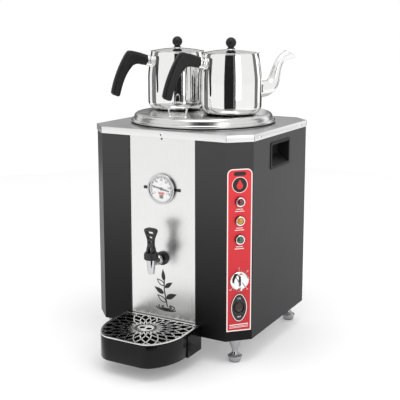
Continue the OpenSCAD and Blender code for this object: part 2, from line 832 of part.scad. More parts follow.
module heating_element() {
    z_ring = z_tank + element_rise;
    color([0.6, 0.6, 0.62]) {
        translate([0, 0, z_ring]) rotate([0, 0, element_half_gap - 180])
            rotate_extrude(angle = 360 - 2 * element_half_gap) translate([element_ring_r, 0]) circle(element_r);
        for (y = [-element_y, element_y]) translate([element_x, y, 0]) {
            rod(element_r, z_tank - element_flange_t - element_tail, z_ring);
            translate([0, 0, z_ring]) sphere(element_r + 0.4);
        }
    }
}

module element_flange() {
    color([0.7, 0.55, 0.3]) difference() {
        translate([element_x, 0, 0]) rod(element_flange_r, z_tank - element_flange_t, z_tank);
        for (y = [-element_y, element_y])
            translate([element_x, y, 0]) rod(element_r + thread_gap, z_tank - element_flange_t - eps, z_tank + eps);
    }
}

// Bimetal cut-out clamped under the tank's floor
module safety_cutout() {
    color([0.2, 0.2, 0.2]) translate([tank_r / 2, 0, 0]) {
        rod(12, z_tank - 10, z_tank);
        for (x = [-6, 6]) translate([x - 0.4, -3, z_tank - 18]) cube([0.8, 6, 9]);
    }
}

// The capillary leaves the tank square to its wall, then turns along the box to its middle
module thermostat_body() {
    box_out = (cab_w + cab_d - 2 * chamfer) / (2 * sqrt(2)) - cover_t - thermostat_d;
    box_side = (cab_w - cab_d) / (2 * sqrt(2));
    turn_out = box_out + 2 * capillary_r;
    color([0.75, 0.72, 0.65]) difference() {
        union() {
            on_strip(knob_z) {
                translate([-thermostat_w / 2, -thermostat_w / 2, -cover_t - thermostat_d])
                    cube([thermostat_w, thermostat_w, thermostat_d]);
                rod(bush_r, -cover_t - eps, 0);
            }
            rotate([90, 0, 45]) translate([0, knob_z, 0]) {
                rod(bulb_r, tank_r - bulb_len, tank_r + 6);
                rod(capillary_r, tank_r, turn_out);
                translate([0, 0, turn_out]) {
                    sphere(capillary_r);
                    rotate([0, 90, 0]) rod(capillary_r, min(0, box_side), max(0, box_side));
                }
            }
        }
        on_strip(knob_z) rod(spindle_r + run_gap, -cover_t - 12, fascia_t + eps);
    }
}

module thermostat_spindle() {
    color([0.8, 0.8, 0.8]) on_strip(knob_z) rod(spindle_r, -cover_t - 11, fascia_t + knob_bar_h - 6);
}

module terminal_block() {
    color([0.15, 0.15, 0.16]) translate([gland_x - 30, y_rear - 70, z_pan]) {
        cube([60, 24, 16]);
        for (i = [0:4]) translate([7 + i * 11, 4, 16]) cube([5, 16, 5]);
    }
}

// ---------- tap ----------

module tap_axis() {
    translate([0, tap_y, 0]) children();
}

module along_neck() {
    translate([0, 0, tap_z]) rotate([-90, 0, 0]) children();
}

module tap_body() {
    color([0.8, 0.8, 0.82]) difference() {
        union() {
            tap_axis() {
                rod(tap_barrel_r, z_cone, z_barrel);
                translate([0, 0, z_nozzle])
                    cylinder(r1 = nozzle_tip_r, r2 = tap_barrel_r, h = z_cone - z_nozzle);
            }
            along_neck() rod(tap_neck_r, tap_y, shank_in_y);
        }
        tap_axis() {
            rod(chamber_r, z_valve_seat, z_barrel + eps);
            rod(outlet_r, z_nozzle - eps, z_valve_seat + eps);
        }
        along_neck() rod(tap_bore_r, tap_y, shank_in_y + eps);
    }
}

module tap_escutcheon() {
    color([0.06, 0.06, 0.06]) on_front(0, tap_z) difference() {
        union() {
            rod(escutcheon_r, 0, escutcheon_t - 3);
            translate([0, 0, escutcheon_t - 3]) cylinder(r1 = escutcheon_r, r2 = escutcheon_r - 3, h = 3);
        }
        rod(tap_neck_r + fix_gap, -eps, escutcheon_t + eps);
    }
}

module tap_collar() {
    color([0.08, 0.08, 0.08]) tap_axis() difference() {
        union() {
            rod(collar_r, z_collar, z_collar_top - 2);
            translate([0, 0, z_collar_top - 2]) cylinder(r1 = collar_r, r2 = collar_r - 1.5, h = 2);
        }
        rod(tap_barrel_r + fix_gap, z_collar - eps, z_barrel);
        rod(stem_r + run_gap, z_collar - eps, z_collar_top + eps);
    }
}

module along_pin() {
    tap_axis() translate([0, 0, z_pivot]) rotate([0, 90, 0]) children();
}

module tap_pin() {
    half = lever_foot_w / 2 - 0.3;
    color([0.75, 0.75, 0.75]) along_pin() rod(pin_r, -half, half);
}

// Upright outline of the lever, from its foot to its crowned top
function lever_outline() = let (
    w1 = lever_waist_w / 2, w2 = lever_top_w / 2, h = lever_h,
    right = [[w1 + 0.4, 4], [w1, 0.28 * h], [w1 + 0.6, 0.45 * h], [0.62 * w1 + 0.38 * w2, 0.6 * h],
        [0.25 * w1 + 0.75 * w2, 0.74 * h], [w2, 0.86 * h], [w2 - 0.8, 0.92 * h], [w2 - 4, 0.965 * h],
        [w2 / 3, h]])
    concat(right, [for (i = [len(right) - 1:-1:0]) [-right[i][0], right[i][1]]]);

// Section of the lever's foot, front to back, with its flat sole
module lever_foot() {
    translate([-lever_foot_w / 2, 0, 0]) rotate([90, 0, 90]) linear_extrude(lever_foot_w) polygon([
        [-lever_toe, -lever_foot_h], [lever_toe, -lever_foot_h], [lever_toe, 2.5 - lever_foot_h],
        [lever_t / 2, lever_foot_h], [-lever_t / 2, lever_foot_h], [-lever_toe, 2.5 - lever_foot_h]]);
}

module tap_lever() {
    slot_w = [0.5, 0.35, 0.22];
    slot_h = [4.6, 3.8, 3];
    slot_z = [0.78, 0.56, 0.36];
    fork_w = 2 * stem_r + 0.8;
    color([0.06, 0.06, 0.06]) difference() {
        tap_axis() translate([0, 0, z_pivot]) {
            lever_foot();
            translate([0, lever_t / 2, 0]) rotate([90, 0, 0]) linear_extrude(lever_t) polygon(lever_outline());
        }
        along_pin() rod(pin_r + run_gap, -lever_foot_w, lever_foot_w);
        tap_axis() translate([-fork_w / 2, -2 * lever_toe, z_pivot - 2 * lever_foot_h])
            cube([fork_w, 4 * lever_toe, 2 * lever_foot_h + stem_r + 1.5]);
        for (i = [0:2]) tap_axis() translate([0, lever_t, z_pivot + slot_z[i] * lever_h]) rotate([90, 0, 0])
            linear_extrude(2 * lever_t) rounded_rect(slot_w[i] * lever_top_w, slot_h[i], slot_h[i] / 2 - 0.01);
    }
}

module tap_stem() {
    z_flange = z_valve_seat + seat_gap + seal_disc_t;
    color([0.75, 0.75, 0.75]) difference() {
        tap_axis() {
            rod(stem_r, z_flange, z_stem_top);
            rod(seal_disc_r - 0.4, z_flange, z_flange + 1.5);
        }
        along_pin() rod(pin_r + fix_gap, -stem_r - eps, stem_r + eps);
    }
}

module tap_seal() {
    color([0.7, 0.3, 0.2]) tap_axis() rod(seal_disc_r, z_valve_seat + seat_gap, z_valve_seat + seat_gap + seal_disc_t);
}

module tap_spring() {
    low = z_valve_seat + seat_gap + seal_disc_t + 1.5 + spring_wire_r;
    high = z_barrel - spring_wire_r;
    last = spring_turns * spring_steps;
    slope = atan((high - low) / (360 * spring_turns * PI / 180 * spring_r));
    turn = [for (i = [0:last]) 360 * i / spring_steps];
    p = [for (i = [0:last]) [spring_r * cos(turn[i]), spring_r * sin(turn[i]), low + (high - low) * i / last]];
    n = [for (a = turn) [cos(a), sin(a), 0]];
    b = [for (a = turn) [sin(slope) * sin(a), -sin(slope) * cos(a), cos(slope)]];
    color([0.6, 0.6, 0.6]) tap_axis() swept(p, n, b, [for (a = turn) spring_wire_r], 8);
}

// ---------- thermometer ----------

// Its parts are stacked outwards from the front panel's face
module thermometer_clip() {
    color([0.05, 0.05, 0.05]) on_front(0, dial_z) difference() {
        union() {
            rod(bezel_r - 0.5, 0, clip_t);
            translate([-clip_w / 2, -clip_h / 2, 0]) cube([clip_w, clip_h, clip_t]);
        }
        rod(case_r + fix_gap, -eps, clip_t + eps);
    }
}

module thermometer_case() {
    color([0.5, 0.5, 0.5]) on_front(0, dial_z) difference() {
        union() {
            rod(case_r, -steel_t - case_depth, clip_t + 1);
            rod(well_r, -(y_panel_clear() + 10), -steel_t - case_depth + eps);
        }
        rod(case_r - 1, -steel_t - case_depth + 1, clip_t);
        rod(needle_pin_r + run_gap, -steel_t - case_depth + 1, clip_t + 1 + eps);
    }
}

// Distance from the front panel's face to the inside of the tank
function y_panel_clear() = -y_panel - tank_in_r;

module thermometer_dial() {
    color([0.95, 0.95, 0.95]) on_front(0, dial_z)
        ring(dial_r, needle_pin_r + run_gap, clip_t + 1, clip_t + 1 + dial_t);
}

module thermometer_bezel() {
    color([0.78, 0.78, 0.8]) on_front(0, dial_z) difference() {
        rod(bezel_r, clip_t, clip_t + bezel_depth);
        rod(case_r + fix_gap, clip_t - eps, clip_t + bezel_depth - bezel_t);
        rod(dial_r - 1.5, clip_t, clip_t + bezel_depth + eps);
    }
}

module thermometer_glass() {
    color([0.85, 0.9, 0.92, 0.35]) on_front(0, dial_z)
        rod(dial_r, clip_t + bezel_depth - bezel_t - glass_t, clip_t + bezel_depth - bezel_t);
}

module thermometer_needle() {
    face = clip_t + 1 + dial_t + 0.4;
    color([0.05, 0.05, 0.05]) on_front(0, dial_z) rotate([0, 0, needle_rest]) {
        rod(needle_pin_r, clip_t - 4, face + needle_t);
        rod(2.4, face, face + needle_t);
        translate([0, 0, face]) linear_extrude(needle_t) polygon([
            [-1.1, -0.5 * needle_len], [1.1, -0.5 * needle_len], [1.4, 0], [0.4, needle_len], [-0.4, needle_len], [-1.4, 0]]);
    }
}

// ---------- control strip ----------

module control_fascia() {
    low = z_under + fascia_rise;
    color([0.85, 0.12, 0.16]) difference() {
        on_strip(low) linear_extrude(fascia_t) {
            translate([-fascia_w / 2, 0]) square([fascia_w, fascia_h - fascia_corner_r]);
            translate([fascia_corner_r - fascia_w / 2, 0]) square([fascia_w - 2 * fascia_corner_r, fascia_h]);
            for (x = [fascia_corner_r - fascia_w / 2, fascia_w / 2 - fascia_corner_r])
                translate([x, fascia_h - fascia_corner_r]) circle(fascia_corner_r);
        }
        control_holes();
    }
}

module lamp_sites() {
    for (i = [0:2]) on_strip(lamp_z + i * lamp_pitch) children();
}

module lamp_housings() {
    color([0.8, 0.8, 0.78]) lamp_sites() difference() {
        union() {
            rod(lamp_r, fascia_t, fascia_t + lamp_proud);
            rod(lamp_barrel_r, -lamp_depth, fascia_t + eps);
        }
        rod(lens_r + fix_gap, fascia_t + 1, fascia_t + lamp_proud + eps);
        rod(lens_r - 2, -lamp_depth + 2, fascia_t + 1 + eps);
    }
}

module lamp_lens(i, tint) {
    base = fascia_t + 1;
    dome_r = 1.4 * lens_r;
    color(tint) on_strip(lamp_z + i * lamp_pitch) intersection() {
        rod(lens_r, base, base + lamp_proud + 2);
        translate([0, 0, base + lamp_proud + 1 - dome_r]) sphere(dome_r);
    }
}

module lamp_lens_red() {
    lamp_lens(2, [0.45, 0.05, 0.07]);
}

module lamp_lens_amber() {
    lamp_lens(1, [0.85, 0.55, 0.05]);
}

module lamp_lens_green() {
    lamp_lens(0, [0.05, 0.4, 0.2]);
}

module thermostat_knob() {
    low = fascia_t + 0.5;
    bore_top = fascia_t + knob_bar_h - 5;
    color([0.82, 0.82, 0.84]) on_strip(knob_z) difference() {
        union() {
            rod(knob_r, low, low + 3);
            translate([0, 0, low + 3])
                cylinder(r1 = knob_r - 0.6, r2 = knob_r - 5, h = knob_disc_h - low - 3 + fascia_t);
            intersection() {
                translate([-knob_bar_w / 2, -knob_r, low]) cube([knob_bar_w, 2 * knob_r, knob_bar_h + fascia_t - low]);
                rod(knob_r - 2.5, low, knob_bar_h + fascia_t);
            }
        }
        rod(spindle_r + fix_gap, low - eps, bore_top);
    }
}

module switch_frame() {
    color([0.07, 0.07, 0.07]) on_strip(switch_z) difference() {
        union() {
            translate([0, 0, fascia_t]) linear_extrude(oval_t) scale_oval();
            rod(switch_body_r, -switch_depth, fascia_t + eps);
        }
        rod(bezel_cut_r, fascia_t - rocker_depth, fascia_t + oval_t + eps);
        along_trunnion() rod(trunnion_r + run_gap, -bezel_cut_r - 1, bezel_cut_r + 1);
    }
}

module along_trunnion() {
    translate([0, 0, fascia_t - rocker_sink]) rotate([0, 90, 0]) children();
}

// Oval of four arcs: two end circles, and two long arcs that touch them
module scale_oval() {
    a = oval_h / 2 - oval_end_r;
    b = oval_w / 2;
    side_r = (a * a + b * b - oval_end_r * oval_end_r) / (2 * (b - oval_end_r));
    touch = a * side_r / (side_r - oval_end_r);
    for (y = [-a, a]) translate([0, y]) circle(oval_end_r);
    intersection() {
        translate([side_r - b, 0]) circle(side_r);
        translate([b - side_r, 0]) circle(side_r);
        square([2 * oval_w, 2 * touch], center = true);
    }
}

module switch_rocker() {
    color([0.1, 0.08, 0.08]) on_strip(switch_z) {
        translate([0, 0, fascia_t - rocker_sink]) rotate([-rocker_tip, 0, 0]) intersection() {
            rod(rocker_r, -2.5, 5.5);
            rotate([0, 90, 0]) rod(rocker_r - 0.4, -rocker_r, rocker_r);
        }
        along_trunnion() rod(trunnion_r, 0.8 - bezel_cut_r - 1, bezel_cut_r + 1 - 0.8);
    }
}

// ---------- rear ----------

module cable_gland() {
    color([0.07, 0.07, 0.07]) on_rear(gland_x, gland_z) difference() {
        union() {
            cylinder(r = gland_hex_r, h = gland_hex_t, $fn = 6);
            rod(gland_hex_r - 2.5, 0, gland_dome - 3);
            translate([0, 0, gland_dome - 3]) cylinder(r1 = gland_hex_r - 2.5, r2 = gland_bore_r + 2.5, h = 3);
            rod(gland_tube_r, -gland_in, eps);
            translate([0, 0, -steel_t - 5]) cylinder(r = gland_hex_r - 1, h = 5, $fn = 6);
        }
        rod(gland_bore_r, -gland_in - eps, gland_dome + eps);
    }
}

module drain_pipe() {
    y_leg = tank_in_r / 2;
    y_end = y_rear + drain_out;
    color([0.7, 0.7, 0.72]) translate([-drain_x, 0, 0]) difference() {
        union() {
            translate([0, y_leg, 0]) rod(drain_r, drain_z, z_tank);
            translate([0, y_leg, drain_z]) sphere(drain_r);
            translate([0, y_leg, drain_z]) rotate([-90, 0, 0]) rod(drain_r, 0, y_end - y_leg);
        }
        translate([0, y_leg, 0]) rod(drain_bore_r, drain_z, z_tank + eps);
        translate([0, y_leg, drain_z]) rotate([-90, 0, 0]) rod(drain_bore_r, 0, y_end - y_leg + eps);
    }
}

module drain_cap() {
    color([0.75, 0.6, 0.3]) on_rear(-drain_x, drain_z, y_rear) difference() {
        translate([0, 0, 4]) cylinder(r = drain_cap_r, h = drain_out - 4 + drain_cap_t, $fn = 6);
        rod(drain_r + thread_gap, 4 - eps, drain_out);
    }
}

// ---------- drip tray ----------

// Plan of the tray in its own frame: back edge on X, reaching towards -Y, drawn in by t.
// Each flank's arc runs on into a smaller arc that touches the front edge.
module tray_plan(t) {
    w = tray_w / 2 - t;
    flank_x = tray_w / 2 - tray_flank_r;
    down = tray_d - tray_side_d - tray_corner_r;
    corner_x = flank_x + sqrt(pow(tray_flank_r - tray_corner_r, 2) - pow(down, 2));
    touch = atan2(down, corner_x - flank_x);
    y_touch = -tray_side_d - (tray_flank_r - t) * sin(touch);
    y_lap = -tray_side_d / 2;
    translate([-w, -tray_side_d]) square([2 * w, tray_side_d - t]);
    intersection() {
        translate([-w, y_touch]) square([2 * w, y_lap - y_touch]);
        translate([flank_x, -tray_side_d]) circle(tray_flank_r - t);
        translate([-flank_x, -tray_side_d]) circle(tray_flank_r - t);
    }
    for (x = [-corner_x, corner_x])
        translate([x, tray_corner_r - tray_d]) circle(tray_corner_r - t);
    translate([-corner_x, t - tray_d]) square([2 * corner_x, y_lap + tray_d - t]);
}

module at_tray(z) {
    translate([0, y_tray, z]) children();
}

module drip_tray() {
    color([0.07, 0.07, 0.07]) at_tray(tray_z) difference() {
        linear_extrude(tray_h) tray_plan(0);
        translate([0, 0, tray_t]) linear_extrude(tray_h) tray_plan(tray_t);
    }
}

module grate_bars() {
    translate([0, -grate_hub_y]) for (i = [0:grate_curves - 1])
        rotate(i * 360 / grate_curves) translate([grate_curve_r, 0]) difference() {
            circle(grate_curve_r + grate_bar / 2);
            circle(grate_curve_r - grate_bar / 2);
        }
}

module drip_grate() {
    hole_r = 6.3;
    color([0.8, 0.8, 0.8]) at_tray(z_grate) difference() {
        union() {
            linear_extrude(grate_t) {
                difference() {
                    tray_plan(0);
                    tray_plan(grate_rim);
                }
                intersection() {
                    tray_plan(0.5 * grate_rim);
                    grate_bars();
                }
                translate([0, -grate_hub_y]) circle(grate_hub_r);
            }
            translate([0, 0, -grate_skirt_h]) linear_extrude(grate_skirt_h + 0.01) difference() {
                tray_plan(tray_t + tray_play);
                tray_plan(tray_t + tray_play + grate_skirt_t);
            }
        }
        for (x = [-1, 1]) translate([x * (hole_r + 2), -grate_hub_y, 0]) rod(hole_r, -eps, grate_t + eps);
    }
}

module tray_bracket() {
    low = tray_z - tray_play - bracket_t;
    color([0.07, 0.07, 0.07]) difference() {
        translate([-bracket_half, y_front - bracket_d, low]) cube([2 * bracket_half, bracket_d, bracket_top - low]);
        translate([bracket_t - bracket_half, y_front - bracket_d - eps, low + bracket_t])
            cube([2 * (bracket_half - bracket_t), bracket_d + eps - bracket_t, bracket_top - low]);
        bracket_screw_sites() countersunk(thread_gap, eps);
    }
}

// ---------- teapots ----------

module at_pot(side) {
    rotate([0, 0, -pot_line_turn]) translate([side * pot_spacing / 2, 0, pot_z])
        rotate([0, 0, pot_line_turn + spout_turn]) children();
}

// Frame of the ferrule: origin where it leaves the body, Z outwards
module on_ferrule() {
    translate([-pot_wall(ferrule_h), 0, ferrule_h]) rotate([0, -90 + ferrule_tilt, 0]) children();
}

// Radius of the body's outside at height z above its rounded edge
function pot_wall(z) = z < pot_straight_h ? pot_r
    : pot_r - (pot_r - pot_rim_r) * pow((z - pot_straight_h) / (pot_h - pot_straight_h), pot_draw);

// Half section of the body, drawn in by t and carried on to the height top
function pot_section(t, top) = concat(
    [[0, t]], arc(pot_r - pot_round_r, pot_round_r, pot_round_r - t, -90, 0, 8),
    [for (i = [0:pot_steps - 1]) let (z = pot_straight_h + (pot_h - pot_straight_h) * i / pot_steps) [pot_wall(z) - t, z]],
    [[pot_rim_r - t, top], [0, top]]);

function line_normals(line) = [for (i = [0:len(line) - 1]) let (
    a = line[max(i - 1, 0)], b = line[min(i + 1, len(line) - 1)], d = [b[0] - a[0], b[1] - a[1]], l = norm(d))
    [-d[1] / l, 0, d[0] / l]];

module spout(t) {
    swept([for (q = spout_line) [q[0], 0, q[1]]], line_normals(spout_line),
        [for (q = spout_line) [0, 1, 0]], [for (q = spout_line) q[2] - t], 20);
}

module teapot(side) {
    color([0.82, 0.82, 0.83]) at_pot(side) difference() {
        union() {
            difference() {
                union() {
                    rotate_extrude() polygon(pot_section(0, pot_h));
                    spout(0);
                }
                translate([spout_lip[0], 0, spout_lip[1]]) rotate([0, spout_lip_turn, 0])
                    translate([-40, -40, 0]) cube([80, 80, 60]);
            }
            on_ferrule() rod(ferrule_r, ferrule_in, ferrule_out);
        }
        rotate_extrude() polygon(pot_section(pot_t, pot_h + eps));
        spout(pot_t);
        on_ferrule()
            rod(handle_tenon_r + fix_gap, ferrule_out - handle_tenon_len, ferrule_out + eps);
    }
}

module teapot_handle(side) {
    color([0.07, 0.07, 0.07]) at_pot(side) {
        difference() {
            mirror([1, 0, 0]) translate([0, handle_t / 2, 0]) rotate([90, 0, 0]) linear_extrude(handle_t)
                polygon(handle_outline);
            on_ferrule() rod(2 * ferrule_r, -pot_r, ferrule_out);
        }
        on_ferrule()
            rod(handle_tenon_r, ferrule_out - handle_tenon_len, ferrule_out + 4);
    }
}

module teapot_lid(side) {
    r = pot_rim_r + flange_proud;
    in_r = pot_rim_r - pot_t - pot_skirt_gap;
    low = pot_h + seat_gap;
    ball = (pow(in_r, 2) + pow(dome_h, 2)) / (2 * dome_h);
    half = asin(in_r / ball);
    color([0.84, 0.84, 0.85]) at_pot(side) rotate_extrude() difference() {
        polygon(concat(
            [[0, low + flange_t + dome_h - pot_t]],
            [for (p = arc(0, low + flange_t + dome_h - ball, ball - pot_t, 90, 90 - half, 10)) if (p[0] < in_r - pot_t && p[0] > 0) p],
            [[in_r - pot_t, low - pot_skirt_h], [in_r, low - pot_skirt_h], [in_r, low], [r, low], [r, low + flange_t]],
            [for (p = arc(0, low + flange_t + dome_h - ball, ball, 90 - half, 90, 12)) if (p[0] > 0.001) p],
            [[0, low + flange_t + dome_h]]));
        translate([-r, 0]) square([r, 2 * pot_h]);
    }
}

module teapot_knob(side) {
    base = pot_h + seat_gap + flange_t + dome_h;
    ball_z = base + knob_foot_h + knob_ball_r - 2;
    color([0.06, 0.06, 0.06]) at_pot(side) {
        rod(knob_foot_r, base, base + 1.2);
        translate([0, 0, base + 1.2]) cylinder(r1 = knob_foot_r, r2 = 6, h = knob_foot_h - 1.2);
        rod(6, base + knob_foot_h, ball_z);
        translate([0, 0, ball_z]) sphere(knob_ball_r);
    }
}

module teapot_left() {
    teapot(-1);
}

module teapot_handle_left() {
    teapot_handle(-1);
}

module teapot_lid_left() {
    teapot_lid(-1);
}

module teapot_knob_left() {
    teapot_knob(-1);
}

module teapot_right() {
    teapot(1);
}

module teapot_handle_right() {
    teapot_handle(1);
}

module teapot_lid_right() {
    teapot_lid(1);
}

module teapot_knob_right() {
    teapot_knob(1);
}

// ---------- fasteners ----------

module fasteners() {
    color([0.75, 0.75, 0.77]) {
        lip_screw_sites([-1, 1]) {
            rod(screw_r, lip_out - screw_len, lip_out);
            translate([0, 0, lip_out]) cylinder(r1 = screw_head_r, r2 = screw_head_r - 1.4, h = screw_head_h);
        }
        on_front(0, rivet_z) {
            rod(rivet_r, -steel_t - 3, eps);
            cylinder(r1 = rivet_r + 0.9, r2 = rivet_r, h = 0.9);
        }
        foot_sites() difference() {
            translate([0, 0, z_pan]) cylinder(r = 2 * foot_stud_r, h = 1.6 * foot_stud_r, $fn = 6);
            rod(foot_stud_r + thread_gap, z_pan - eps, z_pan + 2 * foot_stud_r);
        }
        along_neck() translate([0, 0, -tank_in_r * cos(asin(tap_nut_r / tank_in_r))]) difference() {
            cylinder(r = tap_nut_r, h = tap_nut_t, $fn = 6);
            rod(tap_neck_r + thread_gap, -eps, tap_nut_t + eps);
        }
        bracket_screw_sites() countersunk(0, 0);
    }
}

base_pan();
side_cover_left();
side_cover_right();
front_panel();
rear_panel();
top_plate();
grip_cup_left();
grip_cup_right();
corner_posts();
feet();
foot_pads();
tank();
lid_seal();
insulation();
heating_element();
element_flange();
thermostat_body();
thermostat_spindle();
safety_cutout();
terminal_block();
tap_body();
tap_escutcheon();
tap_collar();
tap_lever();
tap_pin();
tap_stem();
tap_seal();
tap_spring();
thermometer_case();
thermometer_dial();
thermometer_bezel();
thermometer_glass();
thermometer_needle();
thermometer_clip();
control_fascia();
lamp_housings();
lamp_lens_red();
lamp_lens_amber();
lamp_lens_green();
thermostat_knob();
switch_frame();
switch_rocker();
cable_gland();
drain_pipe();
drain_cap();
drip_tray();
drip_grate();
tray_bracket();
tank_lid();
lid_handle();
fasteners();
teapot_left();
teapot_handle_left();
teapot_lid_left();
teapot_knob_left();
teapot_right();
teapot_handle_right();
teapot_lid_right();
teapot_knob_right();
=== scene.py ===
# %% [markdown]
# # A hot water urn with two teapots
# A chamfered steel cabinet hides a round boiler. The boiler's lid keeps two teapots warm, a
# lever tap fills them, and a drip tray catches what misses. The exact solids come in first
# and stay where they are. This file gives each one its finish, and swaps the ones that need
# rounder edges or finer relief for pieces built in the same place.

# %% Load the solids
import json
import math

import bmesh
import bpy
from mathutils import Matrix, Vector

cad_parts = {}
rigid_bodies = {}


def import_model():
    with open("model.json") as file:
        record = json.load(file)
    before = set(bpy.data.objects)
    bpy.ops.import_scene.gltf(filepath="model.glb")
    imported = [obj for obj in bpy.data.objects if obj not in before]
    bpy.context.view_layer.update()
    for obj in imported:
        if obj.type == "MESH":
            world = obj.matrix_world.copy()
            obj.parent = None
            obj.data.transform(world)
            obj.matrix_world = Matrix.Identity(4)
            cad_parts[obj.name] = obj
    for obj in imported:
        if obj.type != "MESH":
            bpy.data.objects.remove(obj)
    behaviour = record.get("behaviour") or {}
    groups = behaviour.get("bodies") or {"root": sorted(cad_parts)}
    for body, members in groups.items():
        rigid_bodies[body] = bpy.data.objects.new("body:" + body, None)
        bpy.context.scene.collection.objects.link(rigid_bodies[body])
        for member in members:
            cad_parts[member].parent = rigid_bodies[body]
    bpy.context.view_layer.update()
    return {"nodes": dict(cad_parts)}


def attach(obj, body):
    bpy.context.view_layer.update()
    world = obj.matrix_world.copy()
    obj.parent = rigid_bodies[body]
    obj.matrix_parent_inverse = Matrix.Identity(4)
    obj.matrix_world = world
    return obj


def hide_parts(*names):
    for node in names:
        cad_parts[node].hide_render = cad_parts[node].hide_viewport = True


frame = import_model()
MM = 0.001


def put(name, data):
    """A new object in the scene."""
    made = bpy.data.objects.new(name, data)
    bpy.context.scene.collection.objects.link(made)
    return made


# %% [markdown]
# ## Camera
# A product picture of this kind is taken from a little above the lid, three quarters on, with
# a long lens so that the sides hardly converge. A small upward shift keeps the uprights
# nearly parallel, as a view camera would. The position is worked out from the turn round the
# object, the height angle and the distance, so that it is easy to read and change. The view
# transform is plain sRGB, so that a white studio comes out white and a red stays as red as
# its paint; the filmic default would fade both.

# %% Camera
CAMERA_TURN, CAMERA_RISE, CAMERA_AWAY = 29.0, 10.18, 1.960  # degrees, degrees, metres
CAMERA_AIM = Vector((-0.009, 0.0, 0.3895))
CAMERA_LENS, CAMERA_SHIFT = 74.916, -0.08  # millimetres, picture widths
camera = put("camera", bpy.data.cameras.new("camera"))
turn, rise = math.radians(CAMERA_TURN), math.radians(CAMERA_RISE)
back = Vector((math.sin(turn) * math.cos(rise), -math.cos(turn) * math.cos(rise), math.sin(rise)))
camera.location = CAMERA_AIM + back * CAMERA_AWAY
camera.rotation_euler = (-back).to_track_quat("-Z", "Y").to_euler()
camera.data.lens = CAMERA_LENS
camera.data.shift_y = CAMERA_SHIFT
camera.data.clip_start = 0.05
bpy.context.scene.camera = camera
bpy.context.scene.view_settings.view_transform = "Standard"
print("camera at", [round(v, 3) for v in camera.location])

# %% [markdown]
# ## One class for every node
# Shaders and Geometry Nodes are both graphs of sockets. The small class below wraps a socket
# and takes part in sums, so a mask can be written as `1 - (a * 3 + b)` and the Math nodes
# appear by themselves. Every other node comes from one method, `node`, that takes the node's
# type, its settings, and the values or links of its sockets.

# %% Sockets that take part in sums
class Wire:
    def __init__(self, graph, socket):
        self.graph, self.socket = graph, socket

    def sum(self, operation, a, b):
        return self.graph.node("ShaderNodeMath", {"operation": operation}, {0: a, 1: b})


# Python calls __add__ for wire + number and __radd__ for number + wire, and so on.
SIGNS = {"add": "ADD", "sub": "SUBTRACT", "mul": "MULTIPLY", "truediv": "DIVIDE", "pow": "POWER"}
for sign, operation in SIGNS.items():
    setattr(Wire, f"__{sign}__", lambda self, other, do=operation: self.sum(do, self, other))
    setattr(Wire, f"__r{sign}__", lambda self, other, do=operation: self.sum(do, other, self))


class Graph:
    def __init__(self, tree):
        self.tree = tree

    def node(self, kind, settings=None, sockets=None, out=0):
        made = self.tree.nodes.new(kind)
        for key, value in (settings or {}).items():
            setattr(made, key, value)
        for key, value in (sockets or {}).items():
            if isinstance(value, Wire):
                self.tree.links.new(value.socket, made.inputs[key])
            else:
                made.inputs[key].default_value = value
        return Wire(self, made.outputs[out]) if len(made.outputs) else None


print("socket class ready")

# %% [markdown]
# ## Reading a surface
# The finishes below read the Object coordinates, which are metres in the urn's own frame, so
# a pattern has the same scale on every piece and stays put when a piece moves. `span` turns
# a number into a 0 to 1 mask, `noise` gives a smooth mottle, `tint` blends two colours, and
# `round_about` gives the distance from an upright axis, for marks left by a lathe.

# %% Masks, mottle and colour blends
def rgba(colour):
    """Four numbers from three, or from one for a grey."""
    return (*([colour] * 3 if isinstance(colour, float) else colour), 1.0)


class Finish(Graph):
    def __init__(self, name, slot):
        self.material = bpy.data.materials.new(name)
        self.material.use_nodes = True
        super().__init__(self.material.node_tree)
        self.tree.nodes.clear()
        self.slot = slot
        self.place = self.node("ShaderNodeTexCoord", out="Object")

    def axis(self, name):
        return self.node("ShaderNodeSeparateXYZ", {}, {0: self.place}, out=name)

    def round_about(self):
        x, y = self.axis("X"), self.axis("Y")
        return (x * x + y * y) ** 0.5

    def stretched(self, x, y, z):
        return self.node("ShaderNodeMapping", {}, {"Vector": self.place, "Scale": (x, y, z)})

    def noise(self, scale, detail=3.0, place=None, rough=0.5):
        return self.node("ShaderNodeTexNoise", {"noise_dimensions": "3D"}, {
            "Vector": place or self.place, "Scale": scale, "Detail": detail, "Roughness": rough})

    def span(self, value, low, high):
        return self.node("ShaderNodeMapRange", {"clamp": True, "interpolation_type": "SMOOTHSTEP"}, {
            "Value": value, "From Min": low, "From Max": high})

    def tint(self, mask, a, b):
        return self.node("ShaderNodeMix", {"data_type": "RGBA"}, {0: mask, 6: rgba(a), 7: rgba(b)}, out=2)

    def bump(self, height, strength, distance):
        return self.node("ShaderNodeBump", {}, {
            "Height": height, "Strength": strength, "Distance": distance * MM})

    def skin(self, **sockets):
        """Ends the finish: one Principled shader with the given sockets."""
        named = {key.replace("_", " "): value for key, value in sockets.items()}
        shader = self.node("ShaderNodeBsdfPrincipled", {}, named)
        self.node("ShaderNodeOutputMaterial", {}, {"Surface": shader})
        return self


print("finish class ready")

# %% [markdown]
# ## Steel
# Stainless sheet carries the marks of its last tool. A brushed panel has fine scratches many
# centimetres long, so its noise is stretched along the brushing. A spun lid has rings, so the
# noise reads the distance from the axis. A polished pot keeps only a trace of either and
# mirrors the studio. On all of them a slow mottle stands for wiping and handling. A grain is
# the noise's scale along each axis: the small number is the way the scratches run.

# %% Stainless steel and chrome
# RINGS, a single number, is the scale of the rings round the tank's axis.
UPRIGHT_GRAIN, CROSS_GRAIN, PLATED = (1300, 1300, 7), (7, 1300, 1300), (300, 300, 300)
POLISHED, MILLED, RINGS = (500, 500, 9), (60, 60, 12), 1500


